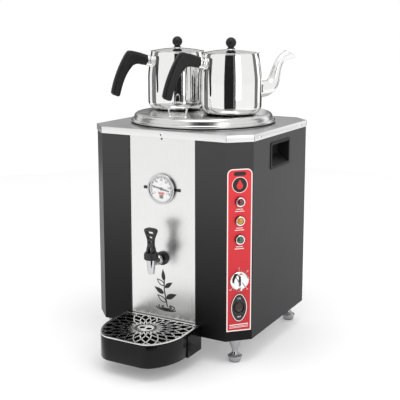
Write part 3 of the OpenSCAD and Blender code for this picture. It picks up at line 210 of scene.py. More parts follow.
def steel(name, slot, tone, rough, streak, grain=PLATED, lift=0.005, blur=0.0):
    f = Finish(name, slot)
    if grain == RINGS:
        across, along = f.round_about() * grain, f.axis("Z") * grain
        place = f.node("ShaderNodeCombineXYZ", {}, {"X": across, "Y": along})
    else:
        place = f.stretched(*grain)
    lines = f.noise(1.0, 2.0, place, 0.6)
    cloud = f.noise(11.0, 3.0)
    smudge = f.span(f.noise(26.0, 4.0), 0.58, 0.74)
    roughness = rough + streak * (lines - 0.5) + 0.3 * rough * (cloud - 0.5) + 0.2 * rough * smudge
    colour = f.tint(lines, [c * 0.94 for c in tone], [min(1.0, c * 1.03) for c in tone])
    return f.skin(Base_Color=colour, Metallic=1.0, Roughness=roughness,
                  Normal=f.bump(lines, lift, 0.05), Anisotropic=blur)


brushed = steel("brushed stainless", "steel_brushed", (0.79, 0.79, 0.785), 0.3, 0.14, UPRIGHT_GRAIN, 0.02)
top_steel = steel("satin top sheet", "steel_brushed", (0.66, 0.66, 0.66), 0.36, 0.1, CROSS_GRAIN, 0.02)
lid_steel = steel("spun lid steel", "steel_polished", (0.68, 0.68, 0.675), 0.2, 0.07, RINGS, 0.015, 0.65)
polished = steel("polished stainless", "steel_polished", (0.86, 0.86, 0.855), 0.04, 0.012, POLISHED, 0.003)
plain_steel = steel("mill finish steel", "steel_plain", (0.52, 0.52, 0.53), 0.42, 0.12, MILLED, 0.03)
chrome = steel("bright chrome", "chrome", (0.82, 0.82, 0.83), 0.05, 0.01, lift=0.003)
# Painted shade: a darker copy of the chrome, standing in for the dark surroundings that the tap and the
# gauge's bezel mirror.
shaded_chrome = steel("grey nickel plating", "chrome", (0.6, 0.6, 0.61), 0.07, 0.02, lift=0.004)
# Painted shade: the feet's chrome is darkened to stand in for the black cabinet underside that they mirror.
shaded_foot_chrome = steel("dark foot plating", "chrome", (0.4, 0.4, 0.41), 0.06, 0.02, lift=0.004)
wire_steel = steel("grate wire steel", "steel_polished", (0.92, 0.92, 0.915), 0.26, 0.05, POLISHED)
knob_chrome = steel("satin chrome", "chrome", (0.9, 0.9, 0.9), 0.14, 0.03)
print("steels ready")

# %% [markdown]
# ## Powder coat and enamel
# The covers are powder coated: a fine orange peel on satin black, with painted light that
# makes them darker towards the floor and lighter towards the top, where more light falls,
# and worn a little lighter along the top edge, where hands and cloths touch it. The control
# strip is a screen printed plate, glossy red, with painted shade that makes it slightly
# deeper towards its foot.

# %% Powder coat and red enamel
def powder(name, low, high):
    f = Finish(name, "paint_black")
    peel, cloud = f.noise(1500.0, 2.0), f.noise(6.0, 3.0)
    # Painted light: the colour brightens with height, standing in for light falling from above.
    painted_top_light = f.span(f.axis("Z"), 0.05, 0.52)
    rubbed = f.span(f.axis("Z"), 0.466, 0.484) * f.span(f.noise(60.0, 4.0), 0.5, 0.7)
    colour = f.tint(painted_top_light + 0.14 * (cloud - 0.5) + 0.25 * rubbed, low, high)
    return f.skin(Base_Color=colour, Roughness=0.36 + 0.1 * (cloud - 0.5) - 0.05 * rubbed,
                  Normal=f.bump(peel, 0.22, 0.04), Specular_IOR_Level=0.17)


def enamel(name, low, high):
    f = Finish(name, "fascia_red")
    mottle = f.noise(60.0, 3.0)
    # Painted shade: the red deepens towards the strip's foot.
    colour = f.tint(f.span(f.axis("Z"), 0.08, 0.42) + 0.1 * (mottle - 0.5), low, high)
    return f.skin(Base_Color=colour, Roughness=0.38 + 0.1 * (mottle - 0.5),
                  Normal=f.bump(f.noise(900.0), 0.05, 0.03))


coat = powder("satin black powder coat", (0.0015, 0.0015, 0.0015), (0.048, 0.048, 0.0485))
red_enamel = enamel("red enamel", (0.52, 0.006, 0.016), (0.7, 0.02, 0.028))
print("coatings ready")

# %% [markdown]
# ## Mouldings, rubber, brass and the rest
# Moulded plastic is never quite flat: a slow mottle in the roughness and a very fine grain
# make its highlights break up. Brass and rubber get a mottle of their own, the wool jacket
# a coarse fibre relief, and the silicone and the dial plain but lightly clouded colours. A
# lens is a moulding with a clear coat over it.

# %% Plastics and soft materials
def moulded(name, slot, low, high, rough, grain=1800.0, relief=0.08, gloss=0.5, coat_weight=0.0, metal=0.0):
    f = Finish(name, slot)
    fine, slow = f.noise(grain, 2.0), f.noise(45.0, 3.0)
    return f.skin(Base_Color=f.tint(slow, low, high), Roughness=rough * (0.85 + 0.3 * slow),
                  Metallic=metal, Normal=f.bump(fine, relief, 0.03), Coat_Weight=coat_weight,
                  Specular_IOR_Level=gloss)


def lens(colour, low, high):
    return moulded(f"{colour} lens", "lens_" + colour.split()[-1], low, high, 0.14, 300, 0.3, coat_weight=1.0)


tray_black = moulded("glossy tray moulding", "plastic_black", 0.002, 0.005, 0.2, gloss=0.2)
gloss_black = moulded("glossy black moulding", "plastic_black", 0.003, 0.009, 0.16)
handle_black = moulded("handle bakelite", "plastic_black", 0.004, 0.01, 0.34, gloss=0.32)
lever_black = moulded("lever moulding", "plastic_black", 0.012, 0.024, 0.42, 900, 0.14)
matte_black = moulded("matte black moulding", "plastic_matte", 0.005, 0.01, 0.5, gloss=0.25)
rubber = moulded("black rubber", "rubber_black", 0.012, 0.024, 0.75, 600, 0.3)
silicone = moulded("red silicone", "silicone_red", (0.36, 0.06, 0.04), (0.45, 0.09, 0.06), 0.5)
brass = moulded("machined brass", "brass_plain", (0.72, 0.5, 0.2), (0.82, 0.6, 0.28), 0.28, 900, 0.1,
                metal=1.0)
wool = moulded("mineral wool jacket", "jacket_wool", (0.55, 0.48, 0.3), (0.78, 0.72, 0.52), 0.95, 260, 1.0)
dial_white = moulded("white dial print", "dial_white", (0.85, 0.85, 0.84), (0.9, 0.9, 0.89), 0.35)
ink_black = moulded("black ink", "needle_black", 0.006, 0.012, 0.45)
ink_white = moulded("white ink", "dial_white", (0.8, 0.77, 0.75), (0.88, 0.85, 0.83), 0.4)
ink_red = moulded("red ink", "fascia_red", (0.6, 0.01, 0.02), (0.72, 0.02, 0.03), 0.4)
rocker_red = moulded("dark red rocker", "plastic_black", (0.022, 0.006, 0.006), (0.04, 0.01, 0.01), 0.28)
lens_red = lens("dark red", (0.07, 0.004, 0.007), (0.15, 0.008, 0.014))
lens_amber = lens("amber", (0.34, 0.15, 0.006), (0.6, 0.32, 0.015))
lens_green = lens("green", (0.003, 0.05, 0.026), (0.008, 0.12, 0.065))

clear = Finish("clear cover glass", "glass_clear")
smear = clear.noise(30.0, 2.0)
glass = clear.skin(Base_Color=clear.tint(smear, (0.95, 0.97, 0.97), 1.0), Roughness=0.02 + 0.03 * smear,
                   IOR=1.3, Alpha=0.12)
print("finishes:", len(bpy.data.materials))

# %% [markdown]
# ## Helpers for shapes
# Most of the urn is turned or pressed, so a profile turned round an axis and an outline
# pushed out between two heights make nearly every piece. `rounded` softens the corners of
# either before it is used, and `smooth` draws a soft curve through a few measured points.
# A shape is a pair, its points and its faces, in millimetres.

# %% Outlines, turned shapes and lofts
def around(r, degrees):
    return r * math.cos(math.radians(degrees)), r * math.sin(math.radians(degrees))


def arc(cx, cy, r, a, b, steps):
    return [(cx + x, cy + y) for x, y in (around(r, a + (b - a) * i / steps) for i in range(steps + 1))]


def circle(r, x=0.0, y=0.0, steps=24):
    return arc(x, y, r, 0, 360 - 360 / steps, steps - 1)


def mirrored(points):
    """The points, then their mirror images the other way about."""
    return points + [(-x, y) for x, y in points[::-1]]


def rounded(points, radius, steps=3):
    """A closed outline with its corners rounded off."""
    out = []
    for i, p in enumerate(points):
        p, a, b = Vector(p), Vector(points[i - 1]), Vector(points[(i + 1) % len(points)])
        a, b = a - p, b - p
        half = a.angle(b) / 2
        reach = min(radius / math.tan(half), 0.48 * a.length, 0.48 * b.length)
        centre = p + (a.normalized() + b.normalized()).normalized() * (reach / math.cos(half))
        first, last = p + a.normalized() * reach - centre, p + b.normalized() * reach - centre
        swing = first.angle(last) * (1 if first.x * last.y - first.y * last.x > 0 else -1)
        for k in range(steps + 1):
            out.append(tuple(Matrix.Rotation(swing * k / steps, 2) @ first + centre))
    return out


def smooth(points, steps=4):
    """A soft curve through the points, for any number of coordinates."""
    def between(a, b, c, d, t):
        bend, sway = 2 * a - 5 * b + 4 * c - d, 3 * b - a - 3 * c + d
        return 0.5 * (2 * b + (c - a) * t + bend * t * t + sway * t ** 3)

    out, last = [], len(points) - 1
    for i in range(last):
        four = [points[min(max(i + k, 0), last)] for k in (-1, 0, 1, 2)]
        out += [tuple(between(*values, s / steps) for values in zip(*four)) for s in range(steps)]
    return out + [tuple(points[-1])]


def loft(rings, caps=True, loop=False):
    """Points and faces through rings of equal length; a ring of one point is a pole."""
    points, ids, faces = [], [], []
    most = max(len(r) for r in rings)
    for r in rings:
        ids.append([len(points) + (k if len(r) > 1 else 0) for k in range(most)])
        points += r
    for a, b in zip(ids, ids[1:] + (ids[:1] if loop else [])):
        for k in range(most):
            face = list(dict.fromkeys((a[k - 1], a[k], b[k], b[k - 1])))
            if len(face) > 2:
                faces.append(face)
    if caps and not loop:
        faces += [ring for ring, r in ((ids[0][::-1], rings[0]), (ids[-1], rings[-1])) if len(r) > 1]
    return points, faces


def at_height(outline, z):
    return [(x, y, z) for x, y in outline]


def turned(profile, steps=96, loop=False):
    rings = [at_height(circle(r, steps=steps), z) if r > 0 else [(0, 0, z)] for r, z in profile]
    return loft(rings, False, loop)


print("shape helpers ready")

# %% [markdown]
# ## Placing and finishing a piece
# `work` gives the matrix of a working plane on the cabinet: X to the right, Y up and Z out of
# the surface, in millimetres. `own` turns a mesh into a finished piece: its doubles are
# merged, its faces point outwards, its corners stay sharp and its curves shade softly, and
# it rides on its body. The place goes into the mesh, so the piece's object stays at the
# origin.

# %% Placing, joining and finishing a piece
HALF_W, HALF_D, CHAMFER = 198, 186, 42.5  # the cabinet, from its axis
PANEL_Y = HALF_D - 1.2  # faces of the front and the rear panel, inside the covers' thickness
STRIP_X, STRIP_Y = HALF_W - CHAMFER / 2, CHAMFER / 2 - HALF_D  # middle of the chamfer with the control strip
SURFACE = 0.8  # thickness of the strip's plate
HERE = Matrix.Identity(4)


def work(origin, right, up=(0, 0, 1)):
    x, y = Vector(right).normalized(), Vector(up).normalized()
    m = HERE.copy()
    m.col[0][:3], m.col[1][:3], m.col[2][:3], m.col[3][:3] = x, y, x.cross(y), origin
    return m


def shift(x, y, z):
    return Matrix.Translation((x, y, z))


def spin(degrees, axis="Z"):
    return Matrix.Rotation(math.radians(degrees), 4, axis)


def on_front(z=0.0):
    """Working plane on the front panel, at a height above the floor."""
    return work((0, -PANEL_Y, z), (1, 0, 0))


def on_strip(z, out=SURFACE):
    """Working plane on the control strip, so far out from the chamfer."""
    h = math.sqrt(0.5) * out
    return work((STRIP_X + h, STRIP_Y - h, z), (1, 1, 0))


def placed(shape, place):
    return [place @ Vector(p) for p in shape[0]], shape[1]


def joined(*shapes):
    points, faces = [], []
    for more, over in shapes:
        faces += [[i + len(points) for i in face] for face in over]
        points += more
    return points, faces


def own(name, mesh, finish, body, replaces, angle=35):
    shape = bmesh.new()
    shape.from_mesh(mesh)
    bmesh.ops.remove_doubles(shape, verts=shape.verts, dist=1e-6)
    bmesh.ops.recalc_face_normals(shape, faces=shape.faces)
    shape.to_mesh(mesh)
    shape.free()
    mesh.shade_smooth()
    mesh.set_sharp_from_angle(angle=math.radians(angle))
    mesh.materials.clear()
    mesh.materials.append(finish.material)
    piece = put(name, mesh)
    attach(piece, body)
    if replaces:
        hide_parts(*replaces)
    print(f"{name}: {len(mesh.polygons)} faces")


def build(name, shape, finish, place=HERE, body="cabinet", replaces=(), angle=35):
    points, faces = shape
    mesh = bpy.data.meshes.new(name)
    mesh.from_pydata([(place @ Vector(p)) * MM for p in points], [], faces)
    own(name, mesh, finish, body, replaces, angle)


print("placing helpers ready")

# %% [markdown]
# ## Flat plates with holes
# Blender fills a flat curve between its outlines and leaves the inner ones open, and its
# bevel rounds both edges at once. That makes slotted levers, perforated plates and printed
# signs with no cutting. The same goes for words, which are curves too.

# %% Plates and words from filled curves
PRINT = 0.1  # thickness of a printed layer


def frozen(data, tree=None, values=None):
    """The plain mesh that Blender makes of a curve, of words, or of what a tree grows."""
    source = put("source", data)
    if tree:
        live = source.modifiers.new("grow", "NODES")
        live.node_group = tree
        for key, value in values.items():
            live[key] = value
    mesh = bpy.data.meshes.new_from_object(source.evaluated_get(bpy.context.evaluated_depsgraph_get()))
    bpy.data.objects.remove(source)
    return mesh


def as_shape(data, lift):
    mesh = frozen(data)
    shape = [(*v.co[:2], v.co.z + lift) for v in mesh.vertices], [list(p.vertices) for p in mesh.polygons]
    bpy.data.meshes.remove(mesh)
    return shape


def drawn(lines, flat=False):
    """Lines in space, or the closed outlines of a flat shape."""
    data = bpy.data.curves.new("lines", "CURVE")
    data.dimensions = "2D" if flat else "3D"
    for line in lines:
        spline = data.splines.new("POLY")
        spline.points.add(len(line) - 1)
        for p, q in zip(spline.points, line):
            p.co = (*q, 0.0)[:3] + (1.0,)
        spline.use_cyclic_u = flat
    return data


def plate(outlines, low, high, edge=0.0):
    data = drawn(outlines, True)
    data.fill_mode, data.bevel_resolution = "BOTH", 1
    data.extrude, data.bevel_depth, data.offset = (high - low) / 2 - edge, edge, -edge
    return as_shape(data, (low + high) / 2)


def printed(*outlines):
    return plate(outlines, 0, PRINT)


def words(text, size, across=0.0, up=0.0, out=0.0):
    data = bpy.data.curves.new("words", "FONT")
    data.body, data.size, data.extrude = text, size, PRINT / 2
    data.align_x, data.align_y = "CENTER", "CENTER"
    return placed(as_shape(data, PRINT / 2), shift(across, up, out))


print("plate helpers ready")

# %% [markdown]
# ## Two Geometry Nodes trees
# Two things repeat all over the urn. A strip follows a line: the wires of the grate, the
# strands of the lid's handle, printed borders and strokes. And a shape stands in a row or a
# ring: louvres, ribs, scale marks. `strip_tree` sweeps a small rectangle or circle along the
# lines it is given, and `repeat_tree` copies the shape it is given along a step and a turn.
# Each ends in Realize Instances and Set Material, and runs once: the result is kept as a
# plain mesh.

# %% The strip tree and the repeat tree
class Tree(Graph):
    def __init__(self, name, **inputs):
        super().__init__(bpy.data.node_groups.new(name, "GeometryNodeTree"))
        face = self.tree.interface
        face.new_socket("Geometry", in_out="INPUT", socket_type="NodeSocketGeometry")
        self.ids = {key: face.new_socket(key, in_out="INPUT", socket_type="NodeSocket" + kind).identifier
                    for key, kind in {**inputs, "Material": "Material"}.items()}
        face.new_socket("Geometry", in_out="OUTPUT", socket_type="NodeSocketGeometry")
        self.given = self.tree.nodes.new("NodeGroupInput")

    def input(self, name):
        return Wire(self, self.given.outputs[name])

    def end(self, geometry):
        solid = self.node("GeometryNodeRealizeInstances", {}, {"Geometry": geometry})
        material = self.input("Material")
        painted = self.node("GeometryNodeSetMaterial", {}, {"Geometry": solid, "Material": material})
        self.node("NodeGroupOutput", {}, {0: painted})

    def grow(self, name, data, finish, place, body="cabinet", replaces=(), **values):
        values["Material"] = finish.material
        mesh = frozen(data, self.tree, {self.ids[key]: value for key, value in values.items()})
        mesh.name = name
        mesh.transform(Matrix.Scale(MM, 4) @ place)
        own(name, mesh, finish, body, replaces)


strip_tree = Tree("strips", Width="Float", Height="Float", Round="Bool")
node, given = strip_tree.node, strip_tree.input
flat_bar = node("GeometryNodeCurvePrimitiveQuadrilateral", {}, {
    "Width": given("Width"), "Height": given("Height")})
wire_bar = node("GeometryNodeCurvePrimitiveCircle", {}, {"Resolution": 8, "Radius": given("Width") * 0.5})
section = node("GeometryNodeSwitch", {"input_type": "GEOMETRY"}, {
    "Switch": given("Round"), "False": flat_bar, "True": wire_bar})
level = node("GeometryNodeSetCurveNormal", {"mode": "Z_UP"}, {"Curve": given("Geometry")})
strip_tree.end(node("GeometryNodeCurveToMesh", {}, {
    "Curve": level, "Profile Curve": section, "Scale": node("GeometryNodeInputRadius"), "Fill Caps": True}))

repeat_tree = Tree("repeats", Count="Int", Step="Vector", Turn="Float", First="Float")
node, given = repeat_tree.node, repeat_tree.input
row = node("GeometryNodeMeshLine", {"mode": "OFFSET"}, {"Count": given("Count"), "Offset": given("Step")})
heading = node("ShaderNodeCombineXYZ", {}, {
    "Z": node("GeometryNodeInputIndex") * given("Turn") + given("First")})
repeat_tree.end(node("GeometryNodeInstanceOnPoints", {}, {
    "Points": row, "Instance": given("Geometry"), "Rotation": heading}))


def strips(name, lines, finish, place, width, height=1.0, wire=False, body="cabinet", replaces=()):
    strip_tree.grow(name, drawn(lines), finish, place, body, replaces,
                    Width=width, Height=height, Round=wire)


def repeats(name, shape, count, finish, place, step=(0, 0, 0), turn=0.0, first=0.0, replaces=()):
    mesh = bpy.data.meshes.new("one")
    mesh.from_pydata(shape[0], [], shape[1])
    repeat_tree.grow(name, mesh, finish, place, replaces=replaces, Count=count, Step=step,
                     Turn=math.radians(turn), First=math.radians(first))


print("trees:", len(bpy.data.node_groups))

# %% [markdown]
# ## Solids that keep their shape
# A solid whose shape is already right only needs its finish: folded sheets, small bought
# parts, and all that is hidden inside the cabinet.

# %% Dress the solids as they are
def dress(finish, *nodes):
    for node in nodes:
        mesh = frame["nodes"][node].data
        mesh.materials.clear()
        mesh.materials.append(finish.material)


dress(coat, "side_cover_left", "side_cover_right", "rear_panel")
dress(brushed, "front_panel")
dress(lid_steel, "tank")
dress(plain_steel, "base_pan", "corner_posts", "heating_element", "thermostat_body", "thermostat_spindle",
      "tap_pin", "tap_stem", "tap_spring", "thermometer_case", "drain_pipe")
dress(matte_black, "grip_cup_left", "grip_cup_right", "safety_cutout", "terminal_block", "cable_gland")
dress(rubber, "foot_pads", "lid_seal")
dress(brass, "element_flange", "drain_cap")
dress(wool, "insulation")
dress(silicone, "tap_seal")
dress(dial_white, "thermometer_dial")
dress(chrome, "fasteners")
dress(glass, "thermometer_glass")
dress(tray_black, "tray_bracket")
print("dressed:", sum(bool(o.data.materials) for o in frame["nodes"].values()))

# %% [markdown]
# ## Top sheet and its folded lip
# The cabinet's lid frame is one sheet with a round hole for the tank and its edges folded
# down over the covers. The folds are cut at the corners, and the shade in these narrow cuts
# is painted as thin black strips. An octagon ring lofted to a circle ring makes the sheet,
# and a second loft makes the lip, so each keeps its own brushing.

# %% Top sheet, lip and seams
TOP_Z, TOP_SHEET, HOLE_R = 500, 1, 150.5
SIDE_PARTS = 24  # points along each side of the octagon


def octagon(out):
    """The cabinet's outline, moved out by so much."""
    w, d, c = HALF_W + out, HALF_D + out, CHAMFER + out * (2 - math.sqrt(2))
    corners = [(c - w, -d), (w - c, -d), (w, c - d), (w, d - c)]
    corners += [(-x, -y) for x, y in corners]
    return [tuple(Vector(a).lerp(Vector(b), k / SIDE_PARTS))
            for a, b in zip(corners, corners[1:] + corners[:1]) for k in range(SIDE_PARTS)]


def hole_ring(r, z):
    return [(r * x / math.hypot(x, y), r * y / math.hypot(x, y), z) for x, y in octagon(0)]


sheet_heights = (TOP_Z - TOP_SHEET, TOP_Z)
sheet = [hole_ring(HOLE_R, z) for z in sheet_heights]
sheet += [at_height(octagon(0.9), z) for z in sheet_heights[::-1]]
build("top_sheet", loft(sheet, loop=True), top_steel, replaces=("top_plate",))
lip_line = [(0.3, 485.5), (1.1, 485.5), (1.3, 485.8), (1.3, 499.4), (1.15, 499.8), (0.88, 499.98),
            (0.3, 499.9)]
build("top_lip", loft([at_height(octagon(out), z) for out, z in lip_line], loop=True), brushed)
# Painted shade: black strips stand for the dark gaps at the cut corners of the lip.
seam_shade_strips = [[(*corner, z) for z in (486, 499.6)] for corner in octagon(1.33)[::SIDE_PARTS]]
strips("lip_seam_painted_shade", seam_shade_strips, ink_black, HERE, 0.55, 0.55)

# %% [markdown]
# ## Hems of the covers
# Each cover ends at the front panel in a hem: the sheet's edge is folded back on itself, so
# that no raw edge shows. It catches no light and reads as a thin dark line down the panel.

# %% Hemmed edges
HEM_X, HEM_HEIGHTS = 82.9, (56, 484.8)
hems = [[(side * HEM_X, z) for z in HEM_HEIGHTS] for side in (-1, 1)]
strips("cover_hems", hems, ink_black, work((0, -HALF_D, 0), (1, 0, 0)), 1.9, 0.4)

# %% [markdown]
# ## The tank's lid
# The lid is spun from one disc: a flat top, a round shoulder, a short wall and a rolled edge.
# A turned profile follows it inside and out. The flat top is a plate of its own, because
# steam rises through a ring of vents under each teapot.

# %% Tank lid with its vents and skirt
LID_Z, LID_FLAT, LID_SHEET = 524, 150.2, 1.2
SHOULDER, BEAD_X, BEAD_Z = 10, 163, 507
POT_REACH, POT_LINE = 81, -12  # each pot from the lid's centre, and how far their line is turned
POTS = {side: sign * Vector(around(POT_REACH, POT_LINE)) for side, sign in (("left", -1), ("right", 1))}
VENT_RING, VENTS = 26, 8

shoulder_z, lid_under = LID_Z - SHOULDER, LID_Z - LID_SHEET
rolled = ([(LID_FLAT, LID_Z)] + arc(LID_FLAT, shoulder_z, SHOULDER, 80, 0, 8) + [(160.2, 511)]
          + arc(BEAD_X, BEAD_Z, 4, 128, -90, 14) + arc(BEAD_X, BEAD_Z, 2.8, -90, 180, 10)
          + [(159, 513)] + arc(LID_FLAT, shoulder_z, SHOULDER - LID_SHEET, 0, 80, 8)
          + [(LID_FLAT, lid_under)])
build("lid_rim", turned(rolled, 192, True), lid_steel, body="tank_lid", replaces=("tank_lid",), angle=50)
vents = [circle(3, *(pot + Vector(around(VENT_RING, k * 360 / VENTS + POT_LINE))))
         for pot in POTS.values() for k in range(VENTS)]
build("lid_top", plate([circle(LID_FLAT, steps=192)] + vents, lid_under, LID_Z), lid_steel, body="tank_lid")
lid_skirt = [(146.6, 490), (147.8, 490), (147.8, 523.2), (146.6, 523.2)]
build("lid_skirt", turned(lid_skirt, 192, True), lid_steel, body="tank_lid")

# %% [markdown]
# ## The lid's lifting loop
# Two wires are twisted together and bent into a loop that stands on two small eyes. Each
# strand winds round the loop's centre line, half a turn apart, and the strip tree gives it
# its thickness.

# %% Twisted wire loop
SIDEWAYS = Vector((0, 1, 0))
LOOP_FOOT, TWIST = 17, 11  # each eye from the middle, and the length of a full twist


def twisted(path, reach, pitch, phase):
    """A strand that winds round a path drawn in the XZ plane."""
    out, run = [], 0
    for i, p in enumerate(path):
        a, b = path[max(i - 1, 0)], path[min(i + 1, len(path) - 1)]
        run += math.dist(p, path[i - 1]) if i else 0
        t = Vector((b[0] - a[0], 0, b[1] - a[1])).normalized()
        n, c = Vector((-t.z, 0, t.x)), math.tau * run / pitch + phase
        out.append(tuple(Vector((p[0], 0, p[1])) + reach * (math.cos(c) * n + math.sin(c) * SIDEWAYS)))
    return out


half_loop = [(LOOP_FOOT, 0.6), (17.2, 4), (18.8, 9), (20.3, 14.5), (19.2, 21), (15.2, 26.6),
             (8.5, 30.2)]
loop_line = smooth([(-x, z) for x, z in half_loop] + [(0, 31.3)] + half_loop[::-1], 12)
loop_place = shift(4.35, -124.4, LID_Z) @ spin(15.6)
strands = [twisted(loop_line, 1.15, TWIST, phase) for phase in (0, math.pi)]
strips("lid_loop", strands, chrome, loop_place, 2.5, wire=True, body="tank_lid", replaces=("lid_handle",))
eye = turned([(0, 0), (4.8, 0), (5, 0.5), (4.4, 1.3), (3, 1.7), (0, 1.8)], 32)
tie_line = [(-2.3, 0), (2.3, 0), (2.3, 0.8), (1.61, 1.1), (-1.61, 1.1), (-2.3, 0.8)]
tie = loft([[(x, y, z) for y, z in tie_line] for x in (-LOOP_FOOT, LOOP_FOOT)])
eyes = [placed(eye, shift(x, 0, 0)) for x in (-LOOP_FOOT, LOOP_FOOT)]
build("lid_loop_feet", joined(*eyes, tie), chrome, loop_place, "tank_lid")

# %% [markdown]
# ## Teapot bodies
# Each pot is drawn from one sheet: a rounded foot, an upright wall and a neck that draws in
# towards the mouth. The profile is turned with its inside wall, so that the pot is open when
# its lid is lifted. The spout is a second pressing, a tube whose centre line rises and
# leans out, welded on with a small flare and cut level at its mouth with a rolled lip.

# %% Pot body and spout
POT_R, POT_SHEET, NECK_Z, MOUTH_Z, NECK_IN = 69.5, 1.2, 78, 136, 8
FOOT_ROUND = 21  # radius of the rounding between the floor and the wall
SPOUT_TURN = 54  # degrees from the cabinet's right to the spouts
FLARE, FLARE_X, FLARE_LONG = 3.2, 79, 12  # the spout widens towards the wall from this distance on
lip_z, lip_x = around(1, 30.9)
LIP, LIP_UP = Vector((138.9, 0, 138.9)), Vector((lip_x, 0, lip_z))


def pot_wall(z):
    return POT_R - NECK_IN * (max(0, z - NECK_Z) / (MOUTH_Z - NECK_Z)) ** 1.35


foot_x = POT_R - FOOT_ROUND
body_line = ([(0, 0.9), (40, 0.9), (43, 0), (foot_x, 0)]
             + arc(foot_x, FOOT_ROUND, FOOT_ROUND, -80, 0, 9)
             + [(pot_wall(z), z) for z in (40, 60, *range(NECK_Z, 133, 6))]
             + [(61.6, 135.4), (61.3, MOUTH_Z), (60.6, MOUTH_Z), (60.3, 135.4)]
             + [(pot_wall(z) - POT_SHEET, z) for z in (*range(132, 83, -12), NECK_Z, 40)]
             + arc(foot_x, FOOT_ROUND, FOOT_ROUND - POT_SHEET, 0, -90, 8) + [(0, POT_SHEET)])
# The spout's centre line: distance out, height and radius.
spout_line = smooth([
    (60, 53, 19.5), (70, 53.2, 19.5), (80, 53.6, 19.2), (90, 54.8, 18.4), (98.5, 58, 17.1), (105, 63.5, 15.5),
    (109.5, 71, 14), (112.6, 79.5, 12.8), (115.3, 89, 11.6), (118.4, 99.5, 10.4), (122, 109, 9.6),
    (127.5, 117.5, 9.3), (135, 124.3, 9.8), (144, 129.2, 10.8), (152, 132, 11.8), (160, 134.5, 12.4)], 3)


def tube(line, shrink, sides=28, tail=7):
    """Rings of a tube along the line, cut off level with the lip."""
    runs = []
    for k in range(sides):
        c, run = math.tau * k / sides, []
        for i, (x, z, r) in enumerate(line):
            a, b = line[max(i - 1, 0)], line[min(i + 1, len(line) - 1)]
            n = Vector((a[1] - b[1], 0, b[0] - a[0])).normalized()
            r += FLARE * max(0, (FLARE_X - x) / FLARE_LONG) ** 2 - shrink
            p = Vector((x, 0, z)) + r * (math.cos(c) * n + math.sin(c) * SIDEWAYS)
            over = (p - LIP).dot(LIP_UP)
            if over > 0 and run:
                under = (run[-1] - LIP).dot(LIP_UP)
                run.append(run[-1].lerp(p, under / (under - over)))
                break
            run.append(p)
        runs.append(run)
    kept = min(map(len, runs)) - 2
    rings = [[run[i] for run in runs] for i in range(kept)]
    for j in range(tail + 1):
        ring = []
        for run in runs:
            at = (kept - 1) + (len(run) - kept) * j / tail
            i = min(int(at), len(run) - 2)
            ring.append(run[i].lerp(run[i + 1], at - i))
        rings.append(ring)
    return rings


def spout():
    outer, inner = tube(spout_line, 0), tube(spout_line, POT_SHEET)
    mid = sum(outer[-1], Vector()) / len(outer[-1])
    lip = [p + (p - mid).normalized() * 0.9 + LIP_UP * 0.7 for p in outer[-1]]
    top = [a.lerp(b, 0.5) + LIP_UP * 1.3 for a, b in zip(outer[-1], inner[-1])]
    return loft(outer + [lip, top] + inner[::-1], loop=True)


def pot_place(side):
    return shift(*POTS[side], LID_Z + 0.3) @ spin(SPOUT_TURN)


# The ferrule joins the handle to the neck of the pot and leans back with the wall.
FERRULE_Z, FERRULE_FLAT = 114, 0.74
lean_x, lean_z = around(1, -102)
ferrule_place = work((-pot_wall(FERRULE_Z), 0, FERRULE_Z), (0, 1, 0), (lean_x, 0, lean_z))
ferrule = turned([(0, -6), (13, -6), (14.6, -0.4), (14.2, 0.8), (12.6, 1.8), (12, 3), (12, 7.4),
                  (12.7, 8.2), (12.9, 9), (12.7, 12.2), (12.2, 13), (0, 13)], 48)
flattened = ferrule_place @ Matrix.Diagonal((FERRULE_FLAT, 1, 1, 1))
pot = joined(turned(body_line, 160), spout(), placed(ferrule, flattened))
for side in POTS:
    build(f"pot_{side}", pot, polished, pot_place(side), f"teapot_{side}", (f"teapot_{side}",))

# %% [markdown]
# ## Pot handles
# The handles are moulded: a round neck at the ferrule, a knee, and a grip that hangs away
# from the hot wall, with a groove along each side. Pairs of points on the back and the front
# edge give the outline, and between each pair stands a rounded section.

# %% Moulded handles
GRIP_HALF, GRIP_SIDES = 8.5, 40
GROOVE_DEEP, GROOVE_AT, GROOVE_WIDE = 0.11, 0.08, 0.1  # in parts of the section
grip_pairs = smooth([
    (75.6, 128.6, 80.6, 105), (84, 131.4, 86, 106), (92, 134, 92.5, 107),
    (103, 136.8, 100, 108.3), (114, 139, 107, 107.4), (123.6, 139.2, 112.5, 104.6),
    (130, 132.4, 118, 98.6), (137, 121.2, 123.6, 91.6), (146, 103.6, 130.2, 80.8),
    (155, 82.2, 136.6, 66.2), (161.6, 61.8, 141.6, 51.2), (165.2, 47, 144.9, 39.2),
    (165.4, 43.4, 146.4, 36.4)], 4)


def squared(wave, power):
    """A sine or cosine that dwells near its ends, so that a round section turns squarer."""
    return math.copysign(abs(wave) ** power, wave)


